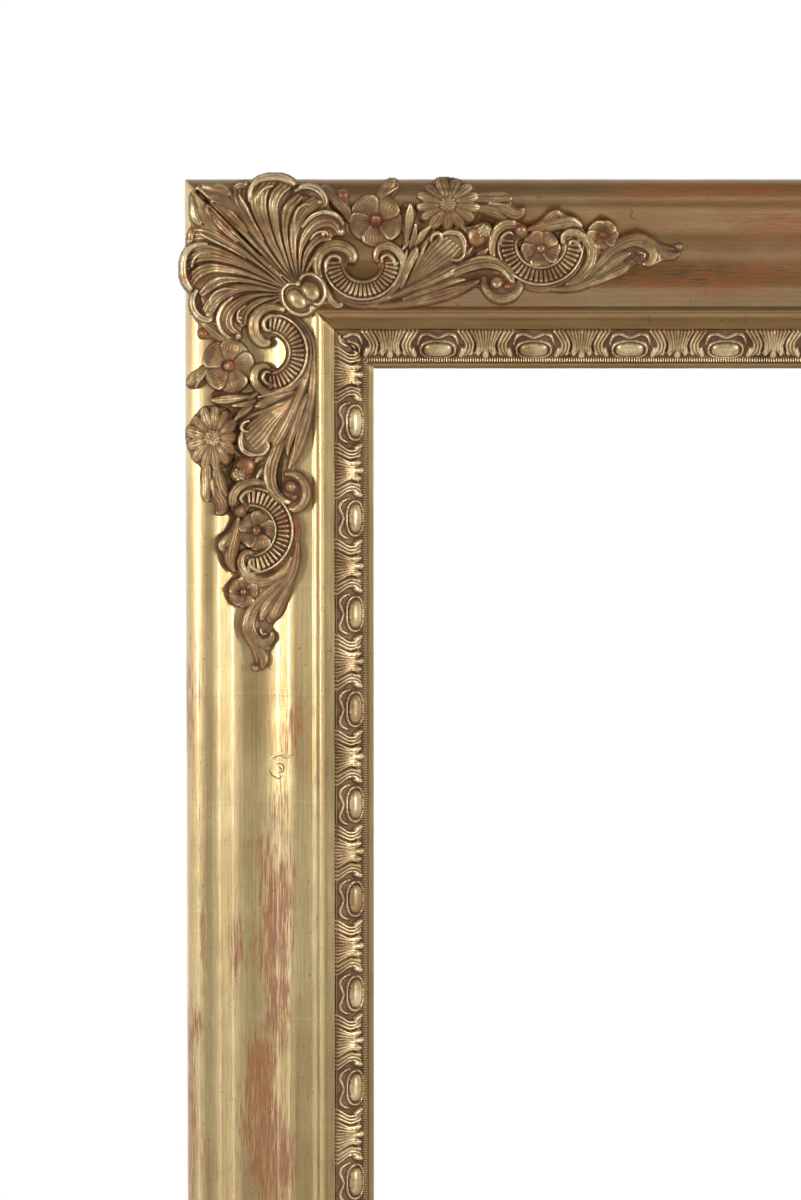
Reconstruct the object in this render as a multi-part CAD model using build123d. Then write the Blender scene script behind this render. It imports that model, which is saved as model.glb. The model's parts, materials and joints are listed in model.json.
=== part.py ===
from build123d import *
from math import atan2, cos, hypot, radians, sin, sqrt, tan
import os

# A gilded picture frame: pine battens at the back, a coved moulding glued on their front,
# a sight moulding with an oval and leaf band, and cast ornaments over each corner.
# Millimetres. X is across, Z is up, and the front looks towards -Y with the wall plane at Y = 0.
# Sections are drawn as (v, h): v runs in from the outer edge, h runs forward from the wall plane.

# Picture and opening
picture_width = 810.0
picture_height = 1000.0
picture_play = 2.0
lip_width = 9.0

# Battens at the back
batten_thickness = 22.0
batten_outset = 1.5

# Outer roll of the coved moulding
crest_height = 62.0
roll_radius = 15.0
crest_radius = 14.0
outer_slope = 40.0
slope_run = 5.0

# Cove, its inner rise and the shelf before the bead
cove_radius = 20.0
floor_run = 6.0
rise_radius = 30.0
rise_slope = 33.0
rise_run = 3.0
brow_radius = 14.0
shelf_slope = 4.0

# Inner bead, flat fillet and the quirk beside the sight moulding
shelf_width = 10.6
bead_width = 7.5
bead_rise = 1.8
bead_fall = 1.2
fillet_drop = 5.5
fillet_width = 7.0
quirk_width = 1.0
quirk_depth = 4.0

# Sight moulding with its ornament band
band_drop = 2.5
band_fall = 13.5
band_width = 17.0
band_bulge = 1.2
pearl_width = 3.0
pearl_rise = 1.2
recess_width = 1.6
recess_depth = 3.0
sight_drop = 2.2
sight_fillet_width = 3.4
lip_step = 1.0
oval_pitch = 63.7
oval_length = 21.0
oval_width = 10.0
oval_rise = 4.2
oval_root = 2.0
oval_top_share = 0.72
level_oval_start = 42.7
upright_oval_start = 36.0

# Wooden keys let into the back across each mitre
key_length = 64.0
key_waist = 14.0
key_end = 22.0
key_depth = 9.0

# Corner ornaments, traced on the photograph's top rail
arm_length = 331.0
corner_x_px = 187.5
arm_end_x_px = 683.0
edge_y_px = 178.0
sight_y_px = 369.0
relief_height = 9.0
lobe_edge = 1.0
glue_gap = 0.25
piece_gap = 0.4
overhang_drop = 5.0
overhang_v = 3.0
overhang_reach = 20.0
ornament_root = 10.0
crumb_share = 0.02

# Lobes are lists of stations in px: x, y, half the width and the rise over the moulding
palmette_lobes_px = [
    [(290, 273, 5, 8), (262, 246, 6.5, 11), (236, 215, 10.5, 12), (218, 199, 10.5, 11), (204, 192, 5, 7)],
    [(292, 270, 5, 8), (272, 240, 6.5, 11), (256, 212, 8, 12), (247, 196, 6.5, 11), (243, 190, 4, 7)],
    [
        (295, 268, 5, 8),
        (276, 232, 8, 12),
        (268, 206, 10.5, 13.5),
        (271, 190, 10.5, 13.5),
        (282, 183, 8, 12),
        (294, 184, 5, 8),
    ],
    [
        (298, 266, 5, 8),
        (288, 236, 6.5, 12),
        (290, 214, 8, 12),
        (300, 200, 8, 12),
        (312, 194, 6.5, 12),
        (321, 200, 5, 8),
    ],
    [
        (302, 264, 5, 8),
        (298, 242, 6.5, 11),
        (308, 226, 8, 12),
        (322, 217, 8, 12),
        (335, 221, 6.5, 11),
        (340, 231, 4, 7),
    ],
    [(306, 262, 5, 7), (313, 249, 5, 9.5), (322, 240, 5, 9.5), (329, 239, 4, 7)],
]
spray_lobes_px = [
    [
        (400, 300, 4, 8),
        (425, 288, 7, 11),
        (452, 276, 8, 11),
        (478, 268, 7, 11),
        (498, 269, 6, 11),
        (507, 279, 5, 11),
        (503, 288, 4, 8),
    ],
    [(404, 293, 4, 8), (425, 272, 6, 9.5), (442, 255, 9, 11), (450, 246, 9, 9.5)],
    [(404, 288, 3, 8), (412, 270, 5, 9.5), (418, 252, 4, 7)],
    [(396, 304, 3, 7), (430, 297, 5, 8), (460, 288, 4, 8), (479, 281, 3, 5.5)],
    [(446, 262, 4, 7), (464, 252, 6, 8), (476, 240, 6, 8)],
]
leaf_lobes_px = [
    [(351, 214, 3, 7), (341, 203, 4, 8), (333, 194, 3, 5.5)],
    [(356, 210, 3, 7), (349, 200, 5, 8), (345, 192, 4, 5.5)],
    [(378, 198, 5, 7), (389, 189, 6, 8), (396, 181, 4, 5.5)],
    [(404, 244, 4, 7), (413, 226, 6, 8), (418, 214, 4, 7)],
    [(414, 244, 4, 7), (424, 234, 4, 8), (430, 228, 2, 5.5)],
    [(476, 202, 4, 8), (495, 203, 5, 8), (511, 203, 3, 5.5)],
    [(476, 212, 4, 7), (492, 214, 6, 8), (506, 215, 5, 8), (517, 215, 4, 7), (522, 210, 3, 5.5)],
    [(541, 226, 2, 5.5), (560, 223, 4, 8), (580, 226, 2, 4)],
    [(546, 222, 2, 5.5), (554, 217, 3, 7), (559, 215, 2, 4)],
]
tail_lobes_px = [
    [
        (574, 285, 3, 7),
        (592, 276, 6, 9.5),
        (608, 259, 7, 11),
        (624, 246, 7, 11),
        (642, 243, 6, 11),
        (656, 251, 5, 9.5),
        (668, 254, 4, 8),
        (679, 250, 3, 7),
    ],
    [(598, 274, 4, 7), (616, 265, 7, 8), (632, 262, 6, 7)],
    [(640, 250, 5, 8), (646, 258, 5, 8), (642, 264, 3, 5.5)],
]
# Outlines in px of the thin ground between the lobes
palmette_web_px = [
    (300, 292.8),
    (198, 188.7),
    (232, 187),
    (250, 188),
    (260, 180),
    (294, 180),
    (300, 188),
    (318, 192),
    (326, 202),
    (328, 214),
    (341, 224),
    (341, 234),
    (330, 244),
    (318, 262),
]
spray_web_px = [
    (393, 304),
    (402, 282),
    (411, 262),
    (420, 248),
    (438, 238),
    (458, 240),
    (464, 256),
    (478, 262),
    (498, 264),
    (508, 274),
    (506, 287),
    (494, 288),
    (484, 279),
    (468, 288),
    (440, 299),
    (412, 306),
]
tail_web_px = [
    (576, 287),
    (596, 274),
    (604, 258),
    (622, 243),
    (642, 239),
    (658, 248),
    (668, 253),
    (666, 258),
    (650, 262),
    (634, 268),
    (610, 270),
    (590, 282),
]
# Knobs in px: x, y, radius and rise
root_knobs_px = [(297, 272, 9, 9.5)]
clasp_knobs_px = [(299, 301, 13, 11), (316, 290, 13, 11), (307, 297, 12, 8)]
foliage_knobs_px = [(499, 283, 9, 11), (478, 236, 12, 11.5), (676, 246, 6, 8)]

# Scrolls, with radii in px and angles counted anticlockwise from +X
large_scroll = {"centre": (364, 262), "outer": 46, "rim": 38, "hollow": 23, "inner": 19.5,
                "start": 163, "end": 376, "volutes": [(345, 257, 12), (388, 256, 9)]}
small_scroll = {"centre": (540, 243), "outer": 47, "rim": 40, "hollow": 28, "inner": 24.5,
                "start": 147, "end": 375, "volutes": [(517, 231, 10), (567, 241, 9)]}
web_relief_share = 0.3
rim_relief_share = 0.75
channel_relief_share = 0.4
lining_relief_share = 0.6
volute_rise_px = 11.5
wedge_reach_share = 3.0
wedge_steps = 4

# Flowers: centre and petal reach in px, the petals and the turn of the first one in degrees
rose = {"centre": (377, 221), "reach": 27, "petals": 5, "turn": 43, "plump_share": 1.0}
daisy = {"centre": (447, 204), "reach": 28, "petals": 12, "turn": 15, "plump_share": 0.42}
small_rose = {"centre": (540, 248), "reach": 18, "petals": 5, "turn": 90, "plump_share": 1.0}
floret = {"centre": (601, 235), "reach": 16, "petals": 5, "turn": 54, "plump_share": 1.0}
petal_reach_shares = (0.2, 0.65, 1.0)
petal_width_shares = (0.2, 0.5, 0.35)
petal_rises_px = (8, 11, 6)
flower_knob_share = 0.24
flower_knob_rise_px = 13.5

# Hanging straps with their rings
strap_width = 16.0
strap_length = 46.0
strap_thickness = 1.6
strap_drop = 300.0
wire_radius = 2.0
ring_play = 0.3
ring_lift = 0.1
ring_width = 28.0
ring_reach = 24.0
ring_corner = 5.0
ring_crown = 11.0
strap_screw_drop_shares = (0.24, 0.8)

# Turn buttons that hold a picture in the rebate
button_reach = 22.0
button_width = 12.0
button_thickness = 2.5
button_play = 0.3
button_inset = 14.0
button_spread = 520.0

# Screws of the straps and of the buttons
screw_shank = 3.5
screw_head = 7.0
screw_head_height = 2.2
screw_length = 16.0
screw_clearance = 0.1
slot_width = 0.9
slot_depth = 0.8

# Places across the moulding, worked out from the sizes above
fall_end_v = roll_radius + crest_radius * sin(radians(outer_slope))
fall_end_h = crest_height - crest_radius * (1 - cos(radians(outer_slope)))
slope_end_v = fall_end_v + slope_run
slope_end_h = fall_end_h - slope_run * tan(radians(outer_slope))
floor_start_v = slope_end_v + cove_radius * sin(radians(outer_slope))
floor_h = slope_end_h - cove_radius * (1 - cos(radians(outer_slope)))
rise_start_v = floor_start_v + floor_run
rise_end_v = rise_start_v + rise_radius * sin(radians(rise_slope))
rise_end_h = floor_h + rise_radius * (1 - cos(radians(rise_slope)))
brow_start_v = rise_end_v + rise_run
brow_start_h = rise_end_h + rise_run * tan(radians(rise_slope))
brow_end_v = brow_start_v + brow_radius * (sin(radians(rise_slope)) - sin(radians(shelf_slope)))
brow_end_h = brow_start_h + brow_radius * (cos(radians(shelf_slope)) - cos(radians(rise_slope)))
bead_v = brow_end_v + shelf_width
bead_h = brow_end_h + shelf_width * tan(radians(shelf_slope))
fillet_v = bead_v + bead_width
fillet_h = bead_h - fillet_drop
quirk_v = fillet_v + fillet_width
moulding_width = quirk_v + quirk_width
band_h = fillet_h - band_drop
pearl_v = moulding_width + band_width
pearl_h = band_h - band_fall
recess_v = pearl_v + pearl_width
sight_v = recess_v + recess_width
sight_h = pearl_h - sight_drop
rail_width = sight_v + sight_fillet_width
ledge_h = batten_thickness - lip_step
rebate_v = rail_width - lip_width

# Overall places
rebate_width = picture_width + 2 * picture_play
rebate_height = picture_height + 2 * picture_play
sight_width = rebate_width - 2 * lip_width
sight_length = rebate_height - 2 * lip_width
frame_width = sight_width + 2 * rail_width
frame_height = sight_length + 2 * rail_width
batten_middle_v = (batten_outset + rebate_v) / 2
top_z = batten_middle_v
middle_z = top_z - frame_height / 2
bottom_z = top_z - frame_height
left_x = -frame_width / 2
front_limit = crest_height + 2 * relief_height
ornament_base = floor_h - ornament_root
mm_along_px = arm_length / (arm_end_x_px - corner_x_px)
mm_across_px = rail_width / (sight_y_px - edge_y_px)
mm_px = (mm_along_px + mm_across_px) / 2
ring_y = wire_radius + ring_play + strap_thickness + ring_lift
strap_x = left_x + batten_middle_v
strap_z = top_z - strap_drop
strap_screw_zs = [strap_z - strap_length * share for share in strap_screw_drop_shares]
button_x = left_x + rebate_v - button_inset
button_zs = [middle_z + button_spread / 2, middle_z - button_spread / 2]
button_seat = button_thickness + 2 * button_play
hole_radius = screw_shank / 2 + screw_clearance


def face_height(v):
    """Height of the coved moulding's face over the wall plane, at v from the outer edge."""
    if v <= roll_radius:
        return crest_height - roll_radius + sqrt(roll_radius**2 - (roll_radius - v) ** 2)
    if v <= fall_end_v:
        return crest_height - crest_radius + sqrt(crest_radius**2 - (v - roll_radius) ** 2)
    if v <= slope_end_v:
        return fall_end_h - (v - fall_end_v) * tan(radians(outer_slope))
    if v <= floor_start_v:
        return floor_h + cove_radius - sqrt(cove_radius**2 - (floor_start_v - v) ** 2)
    if v <= rise_start_v:
        return floor_h
    if v <= rise_end_v:
        return floor_h + rise_radius - sqrt(rise_radius**2 - (v - rise_start_v) ** 2)
    if v <= brow_start_v:
        return rise_end_h + (v - rise_end_v) * tan(radians(rise_slope))
    return brow_start_h + (v - brow_start_v) * (bead_h - brow_start_h) / (bead_v - brow_start_v)


def moulding_section():
    """The coved moulding, from its outer roll to the quirk beside the sight moulding."""
    crest = (roll_radius, crest_height)
    roll = JernArc(crest, (-1, 0), roll_radius, 90)
    fall = JernArc(crest, (1, 0), crest_radius, -outer_slope)
    slope = Line(fall @ 1, (slope_end_v, slope_end_h))
    cove = JernArc(slope @ 1, slope % 1, cove_radius, outer_slope)
    floor = Line(cove @ 1, (rise_start_v, floor_h))
    rise = JernArc(floor @ 1, (1, 0), rise_radius, rise_slope)
    climb = Line(rise @ 1, (brow_start_v, brow_start_h))
    brow = JernArc(climb @ 1, climb % 1, brow_radius, shelf_slope - rise_slope)
    shelf = Line(brow @ 1, (bead_v, bead_h))
    bead_end = (fillet_v, bead_h - bead_fall)
    bead = ThreePointArc(shelf @ 1, (bead_v + bead_width / 2, bead_h + bead_rise), bead_end)
    back = Polyline(
        bead_end,
        (fillet_v, fillet_h),
        (quirk_v, fillet_h),
        (quirk_v, fillet_h - quirk_depth),
        (moulding_width, fillet_h - quirk_depth),
        (moulding_width, batten_thickness),
        (0, batten_thickness),
        (0, crest_height - roll_radius),
    )
    return make_face(roll + fall + slope + cove + floor + rise + climb + brow + shelf + bead + back)


def sight_section():
    """The sight moulding, whose lip laps over the rebate."""
    start = (moulding_width, band_h)
    middle = (moulding_width + band_width / 2 + band_bulge, (band_h + pearl_h) / 2 + band_bulge)
    band = ThreePointArc(start, middle, (pearl_v, pearl_h))
    edge = Polyline(
        (pearl_v, pearl_h),
        (pearl_v, pearl_h + pearl_rise),
        (recess_v, pearl_h),
        (recess_v, sight_h - recess_depth),
        (sight_v, sight_h - recess_depth),
        (sight_v, sight_h),
        (rail_width, sight_h),
        (rail_width, ledge_h),
        (rebate_v, ledge_h),
        (rebate_v, batten_thickness),
        (moulding_width, batten_thickness),
        start,
    )
    return make_face(band + edge)


def batten_section():
    corners = [
        (batten_outset, 0),
        (rebate_v, 0),
        (rebate_v, batten_thickness),
        (batten_outset, batten_thickness),
    ]
    return make_face(Polyline(*corners, close=True))


def level_rail(section):
    """The top rail: a section drawn along X and mitred at both ends."""
    plane = Plane(origin=(-left_x, 0, top_z), x_dir=(0, 0, -1), z_dir=(-1, 0, 0))
    bar = extrude(plane * section, amount=frame_width)
    plan = Polyline(
        (left_x, top_z),
        (-left_x, top_z),
        (-left_x - rail_width, top_z - rail_width),
        (left_x + rail_width, top_z - rail_width),
        close=True,
    )
    return bar & extrude(Plane.XZ * make_face(plan), amount=front_limit)


def upright_rail(section):
    """The left rail: a section drawn down Z and mitred at both ends."""
    plane = Plane(origin=(left_x, 0, top_z), x_dir=(1, 0, 0), z_dir=(0, 0, -1))
    bar = extrude(plane * section, amount=frame_height)
    plan = Polyline(
        (left_x, top_z),
        (left_x + rail_width, top_z - rail_width),
        (left_x + rail_width, bottom_z + rail_width),
        (left_x, bottom_z),
        close=True,
    )
    return bar & extrude(Plane.XZ * make_face(plan), amount=front_limit)


def to_right(shape):
    return mirror(shape, about=Plane.YZ)


def to_bottom(shape):
    return mirror(shape, about=Plane.XY.offset(middle_z))


def to_side_arm(shape):
    """Swaps the top arm of the top left corner for its left arm."""
    return mirror(shape, about=Plane(origin=(left_x, 0, top_z), z_dir=(1, 0, 1)))


def four_rails(name, level, upright):
    parts["top_" + name] = level
    parts["bottom_" + name] = to_bottom(level)
    parts["left_" + name] = upright
    parts["right_" + name] = to_right(upright)


def mitre_key():
    """A double-tapered key across the top left mitre, flush with the back."""
    half = key_length / 2
    outline = Polyline(
        (-half, -key_end / 2),
        (0, -key_waist / 2),
        (half, -key_end / 2),
        (half, key_end / 2),
        (0, key_waist / 2),
        (-half, key_end / 2),
        close=True,
    )
    centre = (left_x + batten_middle_v, 0, top_z - batten_middle_v)
    plane = Plane(origin=centre, x_dir=(1, 0, 1), z_dir=(0, -1, 0))
    return extrude(plane * make_face(outline), amount=key_depth)


def screw(x, y, z):
    """A slotted round-headed screw whose head rests on y and whose shank runs forward."""
    seat = Plane(origin=(x, y, z), z_dir=(0, 1, 0))
    head = extrude(seat * Circle(screw_head / 2), amount=screw_head_height)
    shank = extrude(seat * Circle(screw_shank / 2), amount=-screw_length)
    top = Plane(origin=(x, y + screw_head_height, z), z_dir=(0, 1, 0))
    return head + shank - top * Box(screw_head, slot_width, 2 * slot_depth)


def screw_hole(x, z, radius):
    plane = Plane(origin=(x, 0, z), z_dir=(0, -1, 0))
    return extrude(plane * Circle(radius), amount=screw_length + screw_clearance)


def ovals(length, first, plane_at):
    """The raised ovals of one rail's band, at an even pitch along its sight edge."""
    count = int((length - first) / oval_pitch) + 1
    lean = atan2(band_fall, band_width)
    centre_v = moulding_width + band_width / 2 - oval_root * sin(lean)
    centre_h = (band_h + pearl_h) / 2 - oval_root * cos(lean)
    bosses = []
    for index in range(count):
        plane = plane_at(first + index * oval_pitch, centre_v, centre_h, lean)
        foot = plane * Ellipse(oval_length / 2, oval_width / 2)
        top = plane.offset(oval_root + oval_rise) * Ellipse(
            oval_length / 2 * oval_top_share, oval_width / 2 * oval_top_share
        )
        boss = loft([foot, top], ruled=True)
        bosses.append(boss)
    return bosses


def level_oval_plane(along, v, h, lean):
    x = -sight_width / 2 + along
    return Plane(origin=(x, -h, top_z - v), x_dir=(1, 0, 0), z_dir=(0, -cos(lean), -sin(lean)))


def upright_oval_plane(along, v, h, lean):
    z = middle_z + sight_length / 2 - along
    return Plane(origin=(left_x + v, -h, z), x_dir=(0, 0, 1), z_dir=(sin(lean), -cos(lean), 0))


def rail_place(x_px, y_px):
    """Distance along the top rail from the outer corner, and in from the outer edge."""
    return (x_px - corner_x_px) * mm_along_px, (y_px - edge_y_px) * mm_across_px


def surface(along, across):
    v = min(along, across)
    return face_height(min(max(v, overhang_v), bead_v))


def corner_point(along, across, h):
    return Vector(left_x + along, -h, top_z - across)


def polygon_face(*points):
    return Face(Wire.make_polygon(points, close=True))


def lobe(stations):
    """A ridged leaf that follows its spine and lies on the moulding's face."""
    places = [rail_place(x, y) for x, y, width, rise in stations]
    rings = []
    for index, (along, across) in enumerate(places):
        before = places[max(index - 1, 0)]
        after = places[min(index + 1, len(places) - 1)]
        run = (after[0] - before[0], after[1] - before[1])
        size = hypot(*run)
        half = stations[index][2] * mm_px
        side = (-run[1] / size * half, run[0] / size * half)
        left = (along + side[0], across + side[1])
        right = (along - side[0], across - side[1])
        crest = surface(along, across) + stations[index][3] * mm_px
        rings.append(
            [
                corner_point(*left, ornament_base),
                corner_point(*left, surface(*left) + lobe_edge),
                corner_point(along, across, crest),
                corner_point(*right, surface(*right) + lobe_edge),
                corner_point(*right, ornament_base),
            ]
        )
    faces = [polygon_face(*rings[0]), polygon_face(*reversed(rings[-1]))]
    for first, second in zip(rings, rings[1:]):
        faces.append(polygon_face(first[0], first[4], second[4], second[0]))
        faces.append(polygon_face(first[0], first[1], second[1], second[0]))
        faces.append(polygon_face(first[3], first[4], second[4], second[3]))
        for low, high in ((1, 2), (3, 2)):
            faces.append(polygon_face(first[low], first[high], second[high]))
            faces.append(polygon_face(first[low], second[high], second[low]))
    return Solid(Shell(faces))


def knob(x_px, y_px, radius_px, rise_px):
    """A round boss with a sloping edge."""
    along, across = rail_place(x_px, y_px)
    radius = radius_px * mm_px
    top = surface(along, across) + rise_px * mm_px
    shoulder = top - radius / 2
    origin = corner_point(along, across, ornament_base)
    post = Plane(origin=origin, z_dir=(0, -1, 0)) * Circle(radius)
    cap = Plane(origin=corner_point(along, across, shoulder), z_dir=(0, -1, 0))
    stub = extrude(post, amount=shoulder - ornament_base)
    return stub + extrude(cap * Circle(radius), amount=top - shoulder, taper=45)


def prism(sketch, centre_px):
    """The sketch pushed forward through the ornament's whole depth."""
    along, across = rail_place(*centre_px)
    origin = corner_point(along, across, ornament_base)
    plane = Plane(origin=origin, x_dir=(1, 0, 0), z_dir=(0, -1, 0))
    return extrude(plane * sketch, amount=front_limit - ornament_base)


def web(outline_px, bed):
    """The thin ground that joins a group of leaves, given by its outline in px."""
    corners = [corner_point(*rail_place(x, y), ornament_base) for x, y in outline_px]
    block = extrude(polygon_face(*corners), amount=front_limit - ornament_base, dir=(0, -1, 0))
    return block & bed.moved(Location((0, -relief_height * web_relief_share, 0)))


def arc_band(outer, inner, start, end):
    """A flat ring from the start angle to the end angle, past the bottom."""
    reach = outer * wedge_reach_share
    step = (start - (end - 360)) / wedge_steps
    rays = [end - 360 + step * index for index in range(wedge_steps + 1)]
    gap = [(0, 0)] + [(reach * cos(radians(ray)), reach * sin(radians(ray))) for ray in rays]
    return Circle(outer) - Circle(inner) - make_face(Polyline(*gap, close=True))


def scroll(spec, bed):
    """A C scroll: a raised rim, a sunk channel, a thin lining and a volute at each end."""
    span = (spec["start"], spec["end"])
    layers = [
        (arc_band(spec["outer"] * mm_px, spec["rim"] * mm_px, *span), rim_relief_share),
        (arc_band(spec["rim"] * mm_px, spec["hollow"] * mm_px, *span), channel_relief_share),
        (arc_band(spec["hollow"] * mm_px, spec["inner"] * mm_px, *span), lining_relief_share),
    ]
    solids = []
    for sketch, share in layers:
        forward = bed.moved(Location((0, -relief_height * share, 0)))
        solids.append(prism(sketch, spec["centre"]) & forward)
    for x_px, y_px, radius_px in spec["volutes"]:
        solids.append(knob(x_px, y_px, radius_px, volute_rise_px))
    return solids


def scroll_clearance(spec):
    """The plan of a scroll with the gap that its neighbours keep from it."""
    outer = spec["outer"] * mm_px + piece_gap
    inner = spec["inner"] * mm_px - piece_gap
    room = [prism(arc_band(outer, inner, spec["start"], spec["end"]), spec["centre"])]
    for x_px, y_px, radius_px in spec["volutes"]:
        room.append(prism(Circle(radius_px * mm_px + piece_gap), (x_px, y_px)))
    return room


def flower(spec):
    """Petals round a knob."""
    x, y = spec["centre"]
    reach = spec["reach"]
    solids = []
    for index in range(spec["petals"]):
        turn = radians(spec["turn"] + index * 360 / spec["petals"])
        stations = []
        for far, wide, rise in zip(petal_reach_shares, petal_width_shares, petal_rises_px):
            place = (x + reach * far * cos(turn), y - reach * far * sin(turn))
            stations.append((*place, reach * wide * spec["plump_share"], rise))
        solids.append(lobe(stations))
    solids.append(knob(x, y, reach * flower_knob_share, flower_knob_rise_px))
    return solids


def flower_clearance(spec):
    """The plan of a flower, out to its petals' corners, with the gap round it."""
    corner = spec["reach"] * petal_width_shares[-1] * spec["plump_share"]
    return prism(Circle(hypot(spec["reach"], corner) * mm_px + piece_gap), spec["centre"])


def joined(solids):
    return solids[0].fuse(*solids[1:])


def seated(shape, beds, rooms=()):
    """Cuts an ornament to the face that it is glued on, and clear of its neighbours."""
    for bed in beds:
        shape = shape - bed.moved(Location((0, -glue_gap, 0)))
    for room in rooms:
        shape = shape - room
    return shape


def edge_skirt():
    """The space outside and under the outer roll, where no ornament reaches."""
    height = face_height(overhang_v) - overhang_drop
    depth = overhang_reach + overhang_v
    level = Box(frame_width, height, depth, align=(Align.CENTER, Align.MAX, Align.MIN))
    upright = Box(depth, height, frame_height, align=(Align.MAX, Align.MAX, Align.CENTER))
    level = level.moved(Location((0, 0, top_z - overhang_v)))
    return [level, upright.moved(Location((left_x + overhang_v, 0, middle_z)))]


def corner_ornaments(level, upright):
    """The ornaments of the top left corner, with the arm along the top rail."""
    skirts = edge_skirt()
    scroll_rooms = scroll_clearance(large_scroll) + scroll_clearance(small_scroll)
    side_rooms = [to_side_arm(room) for room in scroll_rooms]
    flowers = [rose, daisy, small_rose, floret]
    flower_rooms = [flower_clearance(spec) for spec in flowers]

    upper = [lobe(stations) for stations in palmette_lobes_px] + [web(palmette_web_px, level)]
    fan = joined(upper + [to_side_arm(item) for item in upper] + [knob(*item) for item in root_knobs_px])
    clasp = joined([knob(*item) for item in clasp_knobs_px])
    clasp_rooms = [
        prism(Circle(radius * mm_px + piece_gap), (x, y)) for x, y, radius, rise in clasp_knobs_px
    ]
    fan = seated(fan, [level, upright] + skirts, clasp_rooms + scroll_rooms + side_rooms)
    clasp = seated(clasp, [level, upright], scroll_rooms + side_rooms)

    scrolls = []
    for spec in (large_scroll, small_scroll):
        scrolls.append(seated(joined(scroll(spec, level)), [level], flower_rooms))
    blooms = [seated(joined(flower(spec)), [level] + skirts) for spec in flowers]
    leaves = spray_lobes_px + leaf_lobes_px + tail_lobes_px
    foliage = [lobe(stations) for stations in leaves] + [knob(*item) for item in foliage_knobs_px]
    foliage += [web(spray_web_px, level), web(tail_web_px, level)]
    foliage = seated(joined(foliage), [level] + skirts, scroll_rooms + flower_rooms)
    return fan, clasp, scrolls, foliage, blooms


def group(shapes):
    """One compound of the separate solids, without crumbs left by the cuts."""
    solids = [solid for shape in shapes for solid in shape.solids()]
    smallest = relief_height**3 * crumb_share
    return Compound(children=[solid for solid in solids if solid.volume > smallest])


def strap(x, z):
    """A steel strap with a rolled barrel at its top end and two screw holes."""
    back = Plane(origin=(x, 0, z), x_dir=(1, 0, 0), z_dir=(0, 1, 0))
    flat = Box(strap_width, strap_length, strap_thickness, align=(Align.CENTER, Align.MIN, Align.MIN))
    plate = back * flat
    barrel_radius = wire_radius + ring_play + strap_thickness
    axis = Plane(origin=(x - strap_width / 2, ring_y, z), z_dir=(1, 0, 0))
    barrel = extrude(axis * Circle(barrel_radius), amount=strap_width)
    bore = extrude(axis * Circle(wire_radius + ring_play), amount=strap_width)
    body = plate + barrel - bore
    for screw_z in strap_screw_zs:
        seat = Plane(origin=(x, 0, screw_z), z_dir=(0, 1, 0))
        body = body - extrude(seat * Circle(hole_radius), amount=strap_thickness)
    return body


def hanging_ring(x, z):
    """A D-shaped wire ring whose straight side lies in the strap's barrel."""
    half = ring_width / 2
    corners = Polyline((half, 0), (half, ring_reach), (-half, ring_reach), (-half, 0), close=True)
    outline = make_face(corners)
    low = outline.vertices().sort_by(Axis.Y)[-2:]
    outline = fillet(low, ring_crown)
    high = outline.vertices().filter_by(lambda vertex: abs(vertex.Y) < wire_radius / 2)
    outline = fillet(high, ring_corner)
    plane = Plane(origin=(x, ring_y, z), x_dir=(1, 0, 0), z_dir=(0, 1, 0))
    path = plane * outline.faces()[0].outer_wire()
    start = path.edges()[0]
    profile = Plane(origin=start @ 0, z_dir=start % 0) * Circle(wire_radius)
    return sweep(profile, path=path)


def turn_button(x, z):
    """A flat button that turns on its screw, stored pointing down."""
    plane = Plane(origin=(x, button_play, z), x_dir=(1, 0, 0), z_dir=(0, 1, 0))
    tip = button_reach - button_width / 2
    slab = Circle(button_width / 2) + Pos(0, tip) * Circle(button_width / 2)
    slab = slab + Pos(0, tip / 2) * Rectangle(button_width, tip)
    hole = Circle(screw_shank / 2 + button_play)
    return extrude(plane * (slab - hole), amount=button_thickness)


parts = {}
level_moulding = level_rail(moulding_section())
upright_moulding = upright_rail(moulding_section())
four_rails("cove_moulding", level_moulding, upright_moulding)

level_sight = level_rail(sight_section())
level_sight = level_sight + ovals(sight_width, level_oval_start, level_oval_plane)
upright_sight = upright_rail(sight_section())
upright_sight = upright_sight + ovals(sight_length, upright_oval_start, upright_oval_plane)
four_rails("sight_moulding", level_sight, upright_sight)

holes = [screw_hole(strap_x, z, hole_radius) for z in strap_screw_zs]
holes += [screw_hole(button_x, z, hole_radius) for z in button_zs]
key = mitre_key()
level_batten = level_rail(batten_section()) - key - to_right(key)
upright_batten = upright_rail(batten_section()) - key - to_bottom(key)
for hole in holes:
    upright_batten = upright_batten - hole
four_rails("batten", level_batten, upright_batten)
keys = [key, to_right(key), to_bottom(key), to_right(to_bottom(key))]
parts["mitre_keys"] = Compound(children=keys)

fan, clasp, scrolls, foliage, blooms = corner_ornaments(level_moulding, upright_moulding)
pieces = {
    "palmette": [fan],
    "clasp": [clasp],
    "level_scrolls": scrolls,
    "level_foliage": [foliage],
    "level_flowers": blooms,
    "upright_scrolls": [to_side_arm(item) for item in scrolls],
    "upright_foliage": [to_side_arm(foliage)],
    "upright_flowers": [to_side_arm(item) for item in blooms],
}
for name, shapes in pieces.items():
    piece = group(shapes)
    parts["top_left_" + name] = piece
    parts["top_right_" + name] = to_right(piece)
    parts["bottom_left_" + name] = to_bottom(piece)
    parts["bottom_right_" + name] = to_right(to_bottom(piece))

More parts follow.
